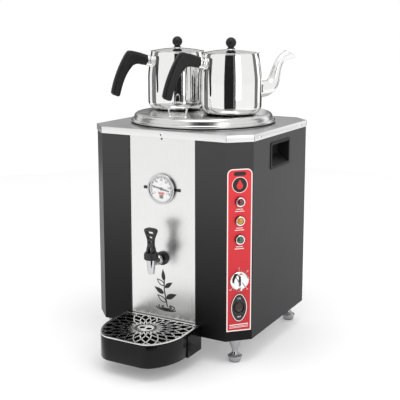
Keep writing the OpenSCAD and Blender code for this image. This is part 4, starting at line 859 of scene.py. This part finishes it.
def grip():
    rings, last = [], len(grip_pairs) - 1
    for i, (back_x, back_z, front_x, front_z) in enumerate(grip_pairs):
        a, b = Vector((-back_x, 0, back_z)), Vector((-front_x, 0, front_z))
        mid, half = (a + b) / 2, (a - b) / 2
        neck = min(1, max(0, (i - 4) / 10))
        end = max(0, (i - last + 3) / 3) ** 2
        ring = []
        for k in range(GRIP_SIDES):
            c = math.tau * k / GRIP_SIDES
            u = squared(math.cos(c), 0.95 - 0.33 * neck)
            v = squared(math.sin(c), 0.95 - 0.37 * neck)
            groove = 1 - GROOVE_DEEP * neck * math.exp(-((u - GROOVE_AT) / GROOVE_WIDE) ** 2)
            wide = GRIP_HALF * v * groove * (1 - 0.1 * end)
            ring.append(mid + half * u * (1 - 0.05 * end) + wide * SIDEWAYS)
        rings.append(ring)
    ahead = Vector((0.18, 0, -0.98))
    mid = sum(rings[last], Vector()) / GRIP_SIDES
    for inset, drop in ((0.9, 1.5), (0.74, 2.6), (0.45, 3.1)):
        rings.append([mid + (p - mid) * inset + ahead * drop for p in rings[last]])
    return loft(rings)


for side in POTS:
    build(f"pot_handle_{side}", grip(), handle_black, pot_place(side), f"teapot_{side}",
          (f"teapot_handle_{side}",), 40)

# %% [markdown]
# ## Pot lids and knobs
# The lid is a shallow dome with a thin flange and a skirt that drops into the mouth. The
# knob is a black ball on a waisted foot, with a bright washer between it and the dome.

# %% Lids, washers and ball knobs
DOME_R, DOME_RISE, DOME_Z = 59.7, 6.5, 144
sphere = DOME_R ** 2 / (2 * DOME_RISE) + DOME_RISE / 2


def dome(top, radii):
    return [(r, top - sphere + math.sqrt(sphere ** 2 - r ** 2)) for r in radii]


lid_line = (dome(DOME_Z, (0, 6, 14, 22, 30, 38, 45, 51, 56, 59))
            + [(61.2, 137.45), (63.2, 137.4), (63.8, 137.1), (63.9, 136.75), (63.5, 136.35),
               (60.2, 136.3), (DOME_R, 135.9), (DOME_R, 132.8), (59.3, 132.3), (58.5, 132.5), (58.5, 136)]
            + dome(DOME_Z - POT_SHEET, (50, 38, 26, 14, 0)))
knob_line = ([(0, 145), (8.7, 145), (9, 145.4), (8.6, 146.3), (6.9, 148), (6.5, 149.2)]
             + arc(0, 159, 11.8, -54, 84, 22) + [(0, 170.8)])
washer_line = [(0, 143.9), (9.8, 143.7), (10.2, 144.2), (9.9, 144.9), (9.2, 145.1), (0, 145.1)]
for side in POTS:
    place, body = pot_place(side), f"teapot_lid_{side}"
    build(f"pot_lid_{side}", turned(lid_line, 160), polished, place, body, (f"teapot_lid_{side}",))
    build(f"pot_knob_{side}", turned(knob_line, 64), handle_black, place, body, (f"teapot_knob_{side}",))
    build(f"pot_washer_{side}", turned(washer_line, 64), chrome, place, body)

# %% [markdown]
# ## Lever tap
# The tap is a plated casting: an upright barrel that narrows to the nozzle, and a level neck
# with a cast bead that runs through the panel into the tank. A black collar screws on top.
# Both halves of the casting are turned profiles, and the collar's grip is one small rib that
# the repeat tree copies round it.

# %% Tap casting, rose and ribbed collar
TAP_Y, TAP_Z, PIVOT_Z = -232, 219, 250  # the barrel's axis, the neck's axis and the lever's pivot
RIBS = 30
tap_axis = shift(0, TAP_Y, 0)
barrel = turned([(4.3, 196), (6.6, 196), (7.1, 196.4), (7.3, 198.5), (10.3, 224.5), (10.3, 240.2),
                 (7, 240.2), (7, 212), (4.3, 212)], 64, True)
neck = turned([(5.5, 9), (8.5, 9), (8.5, 24), (9.6, 25.2), (10.3, 27.5), (10.4, 30), (10.3, 32.5),
               (9.6, 34.8), (8.5, 36), (8.5, 92.2), (5.5, 92.2)], 64, True)
neck_place = work((0, TAP_Y, TAP_Z), (1, 0, 0), (0, 0, -1))
casting = joined(placed(barrel, tap_axis), placed(neck, neck_place))
# The casting's darker chrome is painted shade.
build("tap_casting", casting, shaded_chrome, replaces=("tap_body",))
rose = turned([(8.55, 0), (15.5, 0), (15.5, 4), (14.7, 6), (12.8, 7), (9, 7), (8.55, 6.6)], 64, True)
build("tap_rose", rose, gloss_black, on_front(TAP_Z), replaces=("tap_escutcheon",))
cap = turned([(10.35, 228.2), (14.5, 228.2), (15, 228.8), (15, 241), (13.8, 243.2), (2.6, 243.2),
              (2.6, 240.3), (10.35, 240.3)], 64, True)
build("tap_cap", cap, lever_black, tap_axis, replaces=("tap_collar",))
rib = loft([at_height([(14.8, -0.8), (15.5, -0.35), (15.5, 0.35), (14.8, 0.8)], z) for z in (229.2, 240.4)])
repeats("tap_cap_ribs", rib, RIBS, lever_black, tap_axis, turn=360 / RIBS)

# %% [markdown]
# ## The lever
# The lever is a moulded paddle, wider at its crowned top, with three slots that keep it
# cool and light. Its shoe straddles the valve's stem and rocks on the collar. The paddle
# and both cheeks of the shoe are flat plates with a rounded edge, at right angles to each
# other.

# %% Paddle with three slots and its shoe
def slot(w, h, up):
    """A level slot with round ends."""
    return arc(w / 2 - h / 2, up, h / 2, -90, 90, 8) + arc(h / 2 - w / 2, up, h / 2, 90, 270, 8)


PADDLE_HALF, CHEEK = 4.75, 5.1  # half the paddle's thickness, and the thickness of a cheek
paddle_edge = smooth([(7.75, 4), (7.35, 13.2), (7.95, 21.2), (10.3, 28.2), (13.1, 34.8), (15, 40.4),
                      (14.3, 43.6), (11, 45.8), (5, 47)])
slots = [slot(w, h, up) for w, h, up in ((15.5, 5.6, 36.7), (11, 4.8, 26.3), (7, 3.8, 16.9))]
paddle = plate([mirrored(paddle_edge)] + slots, -PADDLE_HALF, PADDLE_HALF, 1.3)
shoe_line = rounded([(-8.5, -6.5), (8.5, -6.5), (8.5, -4), (4.75, 6.5), (-4.75, 6.5), (-8.5, -4)], 1.6)
pivot = (0, TAP_Y, PIVOT_Z)
cheeks = [placed(plate([shoe_line, circle(1.3)], low, low + CHEEK, 0.7), work(pivot, (0, 1, 0)))
          for low in (2.9, -8)]
build("lever", joined(placed(paddle, work(pivot, (1, 0, 0))), *cheeks), lever_black, body="tap_lever",
      replaces=("tap_lever",))

# %% [markdown]
# ## Thermometer
# A round dial thermometer is pushed through the panel and held by a black spring clip, whose
# ends show at both sides. The needle turns on the dial's axis, and at rest it points to about
# 20 degrees, as it would in a cold urn.

# %% Bezel, clip and needle
GAUGE_Z, NEEDLE_REST = 374, 78  # height of the dial's axis, and the needle's turn at rest
gauge = on_front(GAUGE_Z)
bezel = turned([(31.2, 2), (33, 2), (33.5, 2.5), (33.5, 6.7), (33.1, 7.3), (32.3, 7.6), (31.5, 7.5),
                (29.3, 6.3), (29, 6.05), (31.2, 6.05)], 128, True)
# The bezel's darker chrome is painted shade.
build("gauge_bezel", bezel, shaded_chrome, gauge, replaces=("thermometer_bezel",))
clip_ring = turned([(31.2, 0), (33, 0), (33, 2), (31.2, 2)], 96, True)
clip_end = rounded([(32, -3.25), (46, -3.25), (46, 3.25), (32, 3.25)], 1.2)
clip_ends = [plate([line], 0, 2, 0.4) for line in (clip_end, [(-x, y) for x, y in clip_end[::-1]])]
build("gauge_clip", joined(clip_ring, *clip_ends), gloss_black, gauge, replaces=("thermometer_clip",))
pointer = plate([mirrored([(1.1, -20), (2.1, 0), (0.8, 24.5)])], 4, 4.4)
hub = turned([(0, 3.9), (3.6, 3.9), (3.6, 4.4), (2.8, 4.65), (0, 4.7)], 32)
build("gauge_needle", joined(pointer, hub), ink_black, gauge @ spin(NEEDLE_REST), "thermometer_needle",
      ("thermometer_needle",))

# %% [markdown]
# ## Print of the dial
# The scale runs from 0 to 120 degrees over two thirds of a turn, clockwise from the lower
# left. The marks are one short bar repeated round the dial, and the figures are words turned
# into a mesh, a tenth of a millimetre thick.

# %% Scale and figures of the dial
DIAL_START, DIAL_SWING, DIAL_OUT = 210, 240, 3.66
INK = (-0.04, 0.06)  # a mark's under and upper side, from the surface it lies on


def mark(near, far, half):
    return loft([at_height([(near, -half), (far, -half), (far, half), (near, half)], z) for z in INK])


on_dial = gauge @ shift(0, 0, DIAL_OUT)
for kind, size, steps in (("fine", (24.4, 26.8, 0.22), 60), ("long", (22.4, 27, 0.62), 12)):
    repeats(f"dial_{kind}_marks", mark(*size), steps + 1, ink_black, on_dial, turn=-DIAL_SWING / steps,
            first=DIAL_START)
rings = [arc(0, 0, r, DIAL_START, DIAL_START - DIAL_SWING, 90) for r in (24.3, 26.9)]
strips("dial_rings", rings, ink_black, on_dial, 0.5, 0.1)
figures = [words(str(20 * i), 7.2, *around(19.6, DIAL_START - DIAL_SWING * i / 6)) for i in range(7)]
build("dial_figures", joined(*figures, words("°C", 3.6, 0, 9.5)), ink_black, on_dial)
for name, finish, outline in (
        ("dial_red_bar", ink_red, [(-7.5, -12.2), (7.5, -12.2), (7.5, -7.2), (-7.5, -7.2)]),
        ("dial_dark_bar", ink_black, [(-4.2, -21.2), (4.2, -21.2), (5.4, -13), (-5.4, -13)])):
    build(name, plate([rounded(outline, 1)], *INK), finish, on_dial)

# %% [markdown]
# ## Control strip
# The red strip is a printed plate on the chamfered corner, with holes for three lamps, the
# thermostat's knob and the switch. Everything printed on it is a thin layer of its own: a
# white border, a roundel with a water drop, plain bars where captions stand, and the stripes
# at its foot.

# %% Red plate and its print
STRIP_FOOT, SWITCH_Z, KNOB_Z, LAMP_Z, LAMP_STEP = 77, 129.6, 189, 279.5, 40.4
STRIP_HALF, STRIP_HIGH, STRIP_ROUND, ROUNDEL = 27.75, 353, 12, 319
STRIPE_HALF, STRIPE_RISE = 21, 1.2
LAMPS = [LAMP_Z + LAMP_STEP * i for i in range(3)]


def hole(r, up):
    return circle(r, 0, up, 40)


def strip_line(inset):
    """The strip's outline: square at its foot, with two round corners on top."""
    w, x = STRIP_HALF - inset, STRIP_HALF - STRIP_ROUND
    z, r = STRIP_HIGH - STRIP_ROUND, STRIP_ROUND - inset
    return [(-w, inset), (w, inset)] + arc(x, z, r, 0, 90, 8) + arc(-x, z, r, 90, 180, 8)


def slanted(up, half):
    """A stripe that climbs a little to the right."""
    w, high = STRIPE_HALF, up + STRIPE_RISE
    return [(-w, up - half), (w, high - half), (w, high + half), (-w, up + half)]


lamp_holes = [up - STRIP_FOOT for up in LAMPS]
holes = [hole(5.1, KNOB_Z - STRIP_FOOT), hole(12.5, SWITCH_Z - STRIP_FOOT)]
holes += [hole(8.4, up) for up in lamp_holes]
build("red_strip", plate([strip_line(0)] + holes, 0, SURFACE), red_enamel, on_strip(STRIP_FOOT, 0),
      replaces=("control_fascia",))
drop = ([around(7, a) for a in range(-200, 21, 10)]
        + smooth([(6.58, 2.39), (3.6, 7.6), (0, 13.5), (-3.6, 7.6), (-6.58, 2.39)], 4)[1:-1])
white = [printed(strip_line(0.15), strip_line(2.5)), printed(hole(17, ROUNDEL), hole(15.9, ROUNDEL))]
white += [printed(slot(width, 1.6, up - below))
          for up in lamp_holes for width, below in ((15, 16), (21, 20.4))]
white += [printed(slanted(up, half)) for up, half in ((14.2, 0.9), (10.6, 0.5), (7.8, 0.5))]
build("strip_white_print", joined(*white), ink_white, on_strip(STRIP_FOOT))
pill = printed(slot(27, 8.7, 342.5))
roundel = printed(hole(15.4, ROUNDEL), [(x, y + ROUNDEL - 2.5) for x, y in drop])
build("strip_dark_print", joined(pill, roundel), ink_black, on_strip(STRIP_FOOT))

# %% [markdown]
# ## Lamps
# Each lamp is a black housing with a bright front ring and a coloured lens that bulges out of
# it. The lens is part of a sphere with fine rings moulded into it, so its profile is one
# formula.

# %% Lamps
LENS_BALL, LENS_IN = math.sqrt(104.4), 0.92  # radius of the lens's sphere, and how deep its centre lies
housing = turned([(7.5, 1.8), (7.5, 6), (10.25, 6), (10.25, 0.8), (8.3, 0.8), (8.3, -26), (5.3, -26),
                  (5.3, 1.8)], 64, True)
front_ring = turned([(7.5, 5.9), (7.55, 6.9), (8.1, 7.3), (9.4, 7.3), (10, 6.9), (10.2, 5.9)], 64, True)
for name, shape, finish, replaced in (("lamp_housing_set", housing, gloss_black, ("lamp_housings",)),
                                      ("lamp_rings", front_ring, knob_chrome, ())):
    repeats(name, shape, 3, finish, on_strip(LAMP_Z, 0), step=(0, LAMP_STEP, 0), replaces=replaced)
bulge = [(r, math.sqrt(LENS_BALL ** 2 - r * r) - LENS_IN + 0.1 * math.cos(r * 4.5))
         for r in (6.6, 6, 5.4, 4.7, 4, 3.3, 2.6, 1.9, 1.2, 0.6)]
for colour, finish, up in zip(("green", "amber", "red"), (lens_green, lens_amber, lens_red), LAMPS):
    build(f"lens_{colour}", turned([(0, 1.8), (7.25, 1.8), (7.25, 6.2)] + bulge + [(0, 9.35)], 48), finish,
          on_strip(up, 0), replaces=(f"lamp_lens_{colour}",))

# %% [markdown]
# ## Thermostat knob
# The knob is a plated disc with a pinched finger bar: the bar is a loft of sections across
# it, wider and lower towards both ends. Two black strips laid across it at an angle are
# painted reflections of something dark in the bar's concave sides. The scale round the knob
# is printed on the red strip, so it stays when the knob turns.

# %% Thermostat knob and its scale
BAR_HALF, INLAY_TURN = 17.4, 30
on_knob = on_strip(KNOB_Z, 0)
disc = turned([(3.05, 1.3), (19.9, 1.3), (20.3, 1.8), (20.3, 4), (19.8, 4.6), (16.6, 7.4), (14, 8.5),
               (11, 8.8), (3.05, 8.8)], 96, True)
bar = []
for k in range(17):
    y = BAR_HALF * (k / 8 - 1)
    bend = (y / BAR_HALF) ** 2
    foot, crest, high = 3.9 + 1.5 * bend, 1.5 + 0.9 * bend, 19.6 - 3.2 * bend ** 2
    half = [(foot, 6), (foot * 0.72, 9.5), (crest + 0.5, 14.5), (crest, high - 1), (crest * 0.5, high)]
    bar.append([(x, y, z) for x, z in mirrored(half)])
build("knob", joined(disc, loft(bar)), knob_chrome, on_knob, "thermostat_knob", ("thermostat_knob",), 30)
marks = [placed(mark(21.6, 24.4 if a % 45 == 0 else 23.2, 0.3), spin(a)) for a in range(90, -136, -15)]
scale = [words(text, 4.4, *around(r, a))
         for text, r, a in (("0", 27.4, 90), ("30", 27.2, 47), ("60", 27.2, -47), ("90", 27.2, 225))]
build("knob_scale", joined(*marks, *scale), ink_white, on_strip(KNOB_Z, SURFACE + 0.04))
# Painted reflections: two black strips stand for the dark streaks mirrored in the bar's sides.
lines = [[(side * (2.9 + 1.08 * (y / BAR_HALF) ** 2), y, 9.7) for y in range(-15, 16, 2)] for side in (-1, 1)]
strips("knob_bar_painted_reflections", lines, ink_black, on_knob @ spin(INLAY_TURN), 1.3, 1.3, body="thermostat_knob")

# %% [markdown]
# ## Rocker switch
# The switch sits in an oval plate, whose outline is four arcs: two long ones for the sides
# and two short ones for the ends. The rocker is dished for the finger, tips in a round well,
# and is shown tipped to one side.

# %% Switch
SIDE_ARC, END_ARC, ARC_JOIN = (24.52, 42.52), (19, 11.5), 37.77  # centres and radii, and where they meet
PLATE_HIGH, ROCKER_R, ROCKER_IN, ROCKER_TIP = 1.6, 9.8, -1.2, -8


def oval(inset):
    (x, long), (y, short), a = SIDE_ARC, END_ARC, ARC_JOIN
    sides = [arc(-x, 0, long - inset, -a, a, 12), arc(0, y, short - inset, a, 180 - a, 12),
             arc(x, 0, long - inset, 180 - a, 180 + a, 12), arc(0, -y, short - inset, 180 + a, 360 - a, 12)]
    return [point for side in sides for point in side[:-1]]


on_switch = on_strip(SWITCH_Z)
well = turned([(0, -9.2), (12.4, -9.2), (12.4, 0.2), (12.7, 1), (12.5, 2.4), (11.8, 2.8), (11, 2.5),
               (10.7, 1.6), (10.7, -8.2), (0, -8.2)], 64)
switch_plate = joined(plate([oval(0), hole(12.4, 0)], 0, PLATE_HIGH, 0.3), well)
build("switch_plate", switch_plate, gloss_black, on_switch, replaces=("switch_frame",))
border = plate([oval(0.35), oval(1.75)], PLATE_HIGH, PLATE_HIGH + PRINT)
signs = [words(text, 4.8, 0, up, PLATE_HIGH) for text, up in (("ON", 20.4), ("OFF", -20.4))]
build("switch_print", joined(border, *signs), ink_white, on_switch)
dished = [[(x, y, 2.8 + 0.02 * y ** 2 - down) for x, y in circle(r, steps=48)]
          for r, down in ((2, 0), (4, 0), (6, 0), (8, 0), (9.2, 0), (9.65, 0.25), (ROCKER_R, 0.8))]
under = [at_height(circle(ROCKER_R, steps=48), -2.4), [(0, 0, -2.4)]]
build("rocker", loft([[(0, 0, 2.8)]] + dished + under), rocker_red,
      on_strip(SWITCH_Z, ROCKER_IN) @ spin(ROCKER_TIP, "X"), "switch_rocker", ("switch_rocker",))

# %% [markdown]
# ## Printed sprig
# The panel under the tap carries a printed decoration in one colour. This one is a sprig of
# tea leaves standing over rings of water. The leaves are flat plates, some filled and some
# only outlined, and the stem and rings are strips along soft curves.

# %% Sprig of tea leaves
def leaf(x, y, length, width, heading):
    """Outline of a leaf that starts at a point and leans to a heading."""
    side = [(length * t, width / 2 * math.sin(math.pi * t ** 0.8) * (1 - 0.25 * t))
            for t in (k / 10 for k in range(11))]
    outline = side + [(u, -0.8 * v) for u, v in side[-2:0:-1]]
    c, s = around(1, heading)
    return [(x + u * c - v * s, y + u * s + v * c) for u, v in outline]


on_panel = on_front()
filled = [leaf(7.5, 127, 31, 15, 26), leaf(5, 151, 25, 12.5, 38), leaf(2.6, 138, 28, 14, 153),
          leaf(3.2, 166, 28, 12, 97)]
build("sprig_leaves", joined(*[plate([line], 0, 0.12) for line in filled]), ink_black, on_panel)
hollow = [leaf(3.4, 157, 22, 11.5, 147), leaf(7.8, 119, 26, 12, 148)]
strips("sprig_outlines", [line + line[:1] for line in hollow], ink_black, on_panel, 2.1, 0.24)
stem = smooth([(11, 108), (9.2, 118), (6.4, 131), (3.6, 146), (3.2, 160), (3.4, 172)], 5)
water = [[(9 + x, 107 + y * flat / wide) for x, y in (around(wide, a) for a in range(first, last + 1, 6))]
         for wide, flat, first, last in ((12, 3, 120, 420), (20.5, 5.6, 150, 336), (20.5, 5.6, -18, 66),
                                         (27.5, 8.4, 186, 330))]
strips("sprig_stem_and_rings", [stem] + water, ink_black, on_panel, 2.7, 0.24)

# %% [markdown]
# ## Drip tray and its grate
# The tray is a deep black moulding with a rounded front. Its plan is two long arcs that run
# on into smaller ones, so one function gives the outline at any inset, and a loft through a
# few insets makes the walls, the rim and the floor. The grate's pattern is the same circle
# turned 22 times about the hub; the circles are cut to the plan and swept by the strip tree.

# %% Tray, rim and rosette
TRAY_Y, GRATE_LOW, GRATE_HIGH = -188.3, 80.3, 81.8
HUB_Y, HUB_R, PETALS, PETAL_R = -69, 19, 22, 75


def tray_plan(inset):
    right = arc(37.65, -115.5, 38 - inset, -42.7, -90, 10)[1:]
    return mirrored([(95 - inset, -inset)] + arc(-16, -66, 111 - inset, 0, -42.7, 10) + right)


def inside(x, y, outline):
    hit = False
    for (ax, ay), (bx, by) in zip(outline, outline[1:] + outline[:1]):
        if (ay > y) != (by > y) and x < ax + (bx - ax) * (y - ay) / (by - ay):
            hit = not hit
    return hit


def stretches(line, keep):
    """The stretches of a line whose points pass a test."""
    runs = [[]]
    for p in line:
        if keep(*p):
            runs[-1].append(p)
        else:
            runs.append([])
    return [run for run in runs if len(run) > 1]


at_tray = shift(0, TRAY_Y, 0)
wall_line = [(2.6, 30), (0.8, 30.3), (0, 31.6), (0, 78.8), (0.3, 79.6), (0.9, 80), (2.2, 80), (2.8, 79.6),
             (3, 78.8), (3, 35.5), (3.8, 33.6), (6, 33)]
tray_walls = loft([at_height(tray_plan(inset), z) for inset, z in wall_line])
build("tray", tray_walls, tray_black, at_tray, "drip_tray", ("drip_tray",))
limit = tray_plan(2.5)
bars = []
for i in range(PETALS):
    x, y = around(PETAL_R, i * 360 / PETALS)
    bars += stretches(arc(x, y + HUB_Y, PETAL_R, 0, 360, 144),
                      lambda x, y: inside(x, y, limit) and math.hypot(x, y - HUB_Y) > HUB_R - 1)
at_bars = at_tray @ shift(0, 0, (GRATE_LOW + GRATE_HIGH) / 2)
strips("grate_bars", bars, wire_steel, at_bars, 2.5, 1.5, body="drip_grate")
rim = plate([tray_plan(0.2), tray_plan(5)], GRATE_LOW, GRATE_HIGH, 0.3)
skirt_line = [(3.3, 76.3), (3.3, 80.4), (4.3, 80.4), (4.3, 76.3)]
grate_skirt = loft([at_height(tray_plan(inset), z) for inset, z in skirt_line], loop=True)
finger_holes = [circle(6.3, x, HUB_Y) for x in (-8.3, 8.3)]
hub_plate = plate([circle(HUB_R, 0, HUB_Y, 72)] + finger_holes, GRATE_LOW, GRATE_HIGH, 0.3)
build("grate_frame", joined(rim, grate_skirt, hub_plate), wire_steel, at_tray, "drip_grate", ("drip_grate",))

# %% [markdown]
# ## Screws
# The lip's screws have a hexagon socket, and the rivet in the front panel a dimple. Both are
# thin black plates on the heads, painted shade, because a hole this small only shows as a
# dark spot.

# %% Sockets of the cap screws
SCREW_Z, HEAD = 492, 3.28  # height of the lip's screws, and how far a head stands out
socket = plate([[around(2.1, 60 * k) for k in range(6)]], 0, 0.08)
rivet = work((0, -185.68, 482.5), (1, 0, 0))
heads = [work((0, s * (HALF_D + HEAD), SCREW_Z), (-s, 0, 0)) for s in (-1, 1)] + [rivet]
heads += [work((s * (HALF_W + HEAD), y, SCREW_Z), (0, s, 0)) for s in (-1, 1) for y in (-116, 104)]
build("screw_socket_painted_shade", joined(*[placed(socket, head) for head in heads]), ink_black)

# %% [markdown]
# ## Feet and louvres
# Four plated feet stand on rubber pads: each one flares to a round nut, waists in and swells
# again under the cabinet. The rear panel's slots are lanced, so each keeps a small hood of
# its own metal that throws water off.

# %% Feet and rear louvres
FOOT_X, FOOT_Y = 160, 148
LOUVRES, LOUVRE_Z, LOUVRE_STEP, HOOD_HALF = 9, 285, 11, 57
foot_line = [(0, 2), (13.2, 2), (13.5, 6), (15.7, 10), (15.9, 11.5), (15.5, 13), (10.3, 16.5), (6.9, 21),
             (6.4, 24), (7, 28), (12, 41), (14.4, 49), (14.5, 55), (4, 55), (4, 68), (0, 68)]
feet = [placed(turned(foot_line, 64), shift(x, y, 0)) for x in (-FOOT_X, FOOT_X) for y in (-FOOT_Y, FOOT_Y)]
# The feet's darker plating is painted shade for the cabinet's underside that they mirror.
build("plated_feet", joined(*feet), shaded_foot_chrome, replaces=("feet",))
hood = []
for k in range(25):
    across = HOOD_HALF * (k / 12 - 1)
    b = 0.35 + 4.2 * max(0, 1 - (across / HOOD_HALF) ** 8) ** 0.5
    hood.append([(across, up, out) for up, out in (
        (3.6, -0.2), (3.2, 0.5 * b), (2, 0.85 * b), (0.2, b), (-1.8, b), (-1.8, b - 0.3),
        (0.2, 0.8 * b - 0.25), (1.6, 0.6 * b - 0.2), (2.4, -0.2))])
on_rear = work((0, PANEL_Y, LOUVRE_Z), (-1, 0, 0))
repeats("rear_louvres", loft(hood), LOUVRES, coat, on_rear, step=(0, LOUVRE_STEP, 0))

# %% [markdown]
# ## Floor, light and cards
# The urn stands on a pale floor that runs on past the frame, inside even white light. Mirror
# finishes show whatever surrounds them, so a round pot in an all white room would look flat
# and grey. Picture makers stand cards where the mirror needs a tone. A black card in front
# draws the dark bands on the pots and on the lid, and a narrow grey one beside it shades the
# spouts. Pale grey cards at the sides draw the bands half way to the pots' edges, darker ones
# behind draw the edges, and a light grey sheet high up behind is what the domes and the
# lid's flat top reflect. Only glossy rays see the cards. Three soft lamps model the cabinet:
# one overhead, one behind on the right and one at the chamfered corner.

# %% Studio
def upright(name, points, finish, hidden=()):
    mesh = bpy.data.meshes.new(name)
    mesh.from_pydata(points, [], [tuple(range(len(points)))])
    mesh.materials.append(finish.material)
    board = put(name, mesh)
    for ray in hidden:
        setattr(board, "visible_" + ray, False)


def card(name, finish, degrees, away, half, low, high):
    """An upright card round the urn, at an angle from the camera's own direction."""
    a = turn + math.radians(degrees)
    out, along = Vector((math.sin(a), -math.cos(a), 0)), Vector((math.cos(a), math.sin(a), 0))
    corners = ((-half, low), (half, low), (half, high), (-half, high))
    upright(name, [tuple(away * out + s * along + Vector((0, 0, z))) for s, z in corners], finish,
            ("camera", "diffuse", "transmission", "volume_scatter", "shadow"))


def board_finish(name, low, high):
    f = Finish(name, "plastic_matte")
    return f.skin(Base_Color=f.tint(f.noise(9), low, high), Roughness=0.9)


def lamp(name, place, aim, width, height, power):
    light = bpy.data.lights.new(name, "AREA")
    light.shape, light.size, light.size_y, light.energy = "RECTANGLE", width, height, power
    source = put(name, light)
    source.location = place
    source.rotation_euler = (Vector(aim) - Vector(place)).to_track_quat("-Z", "Y").to_euler()


world = bpy.data.worlds.new("studio")
bpy.context.scene.world = world
world.use_nodes = True
world.node_tree.nodes["Background"].inputs["Color"].default_value = (1.0, 1.0, 1.0, 1.0)
world.node_tree.nodes["Background"].inputs["Strength"].default_value = 1.0
pale = Finish("pale floor", "dial_white")
pale.skin(Base_Color=pale.tint(pale.noise(2), 0.84, 0.86), Roughness=0.6,
          Emission_Color=(1, 1, 1, 1), Emission_Strength=0.17)
upright("floor", [(-12, -12, 0), (12, -12, 0), (12, 12, 0), (-12, 12, 0)], pale)
dark = board_finish("black card", 0.004, 0.006)
grey = board_finish("grey card", 0.05, 0.065)
soft_grey = board_finish("pale grey card", 0.15, 0.18)
pale_grey = board_finish("light grey sheet", 0.52, 0.56)
card("front_card", dark, -2, 0.6, 0.17, 0.02, 0.92)
card("spout_card", grey, 17, 0.62, 0.028, 0.3, 1)
card("side_card_left", soft_grey, -104, 1.6, 0.35, 0, 1.6)
card("side_card_right", soft_grey, 103, 1.6, 0.27, 0, 1.6)
card("back_card_left", grey, -160, 2.2, 0.95, 0, 1.02)
card("back_card_right", grey, 152, 2.2, 0.8, 0, 1.02)
card("back_sheet", pale_grey, 180, 2.5, 1.6, 0.95, 3.2)
lamp("overhead light", (0.3, -0.6, 2.6), (0, 0, 0.4), 1.6, 1.6, 14)
lamp("side light", (1.5, 2.3, 0.9), (0.1, 0, 0.35), 1, 1.4, 2.5)
lamp("corner light", (1.15, -0.8, 0.75), (0.2, -0.1, 0.4), 0.5, 0.7, 1.4)
print("studio ready")
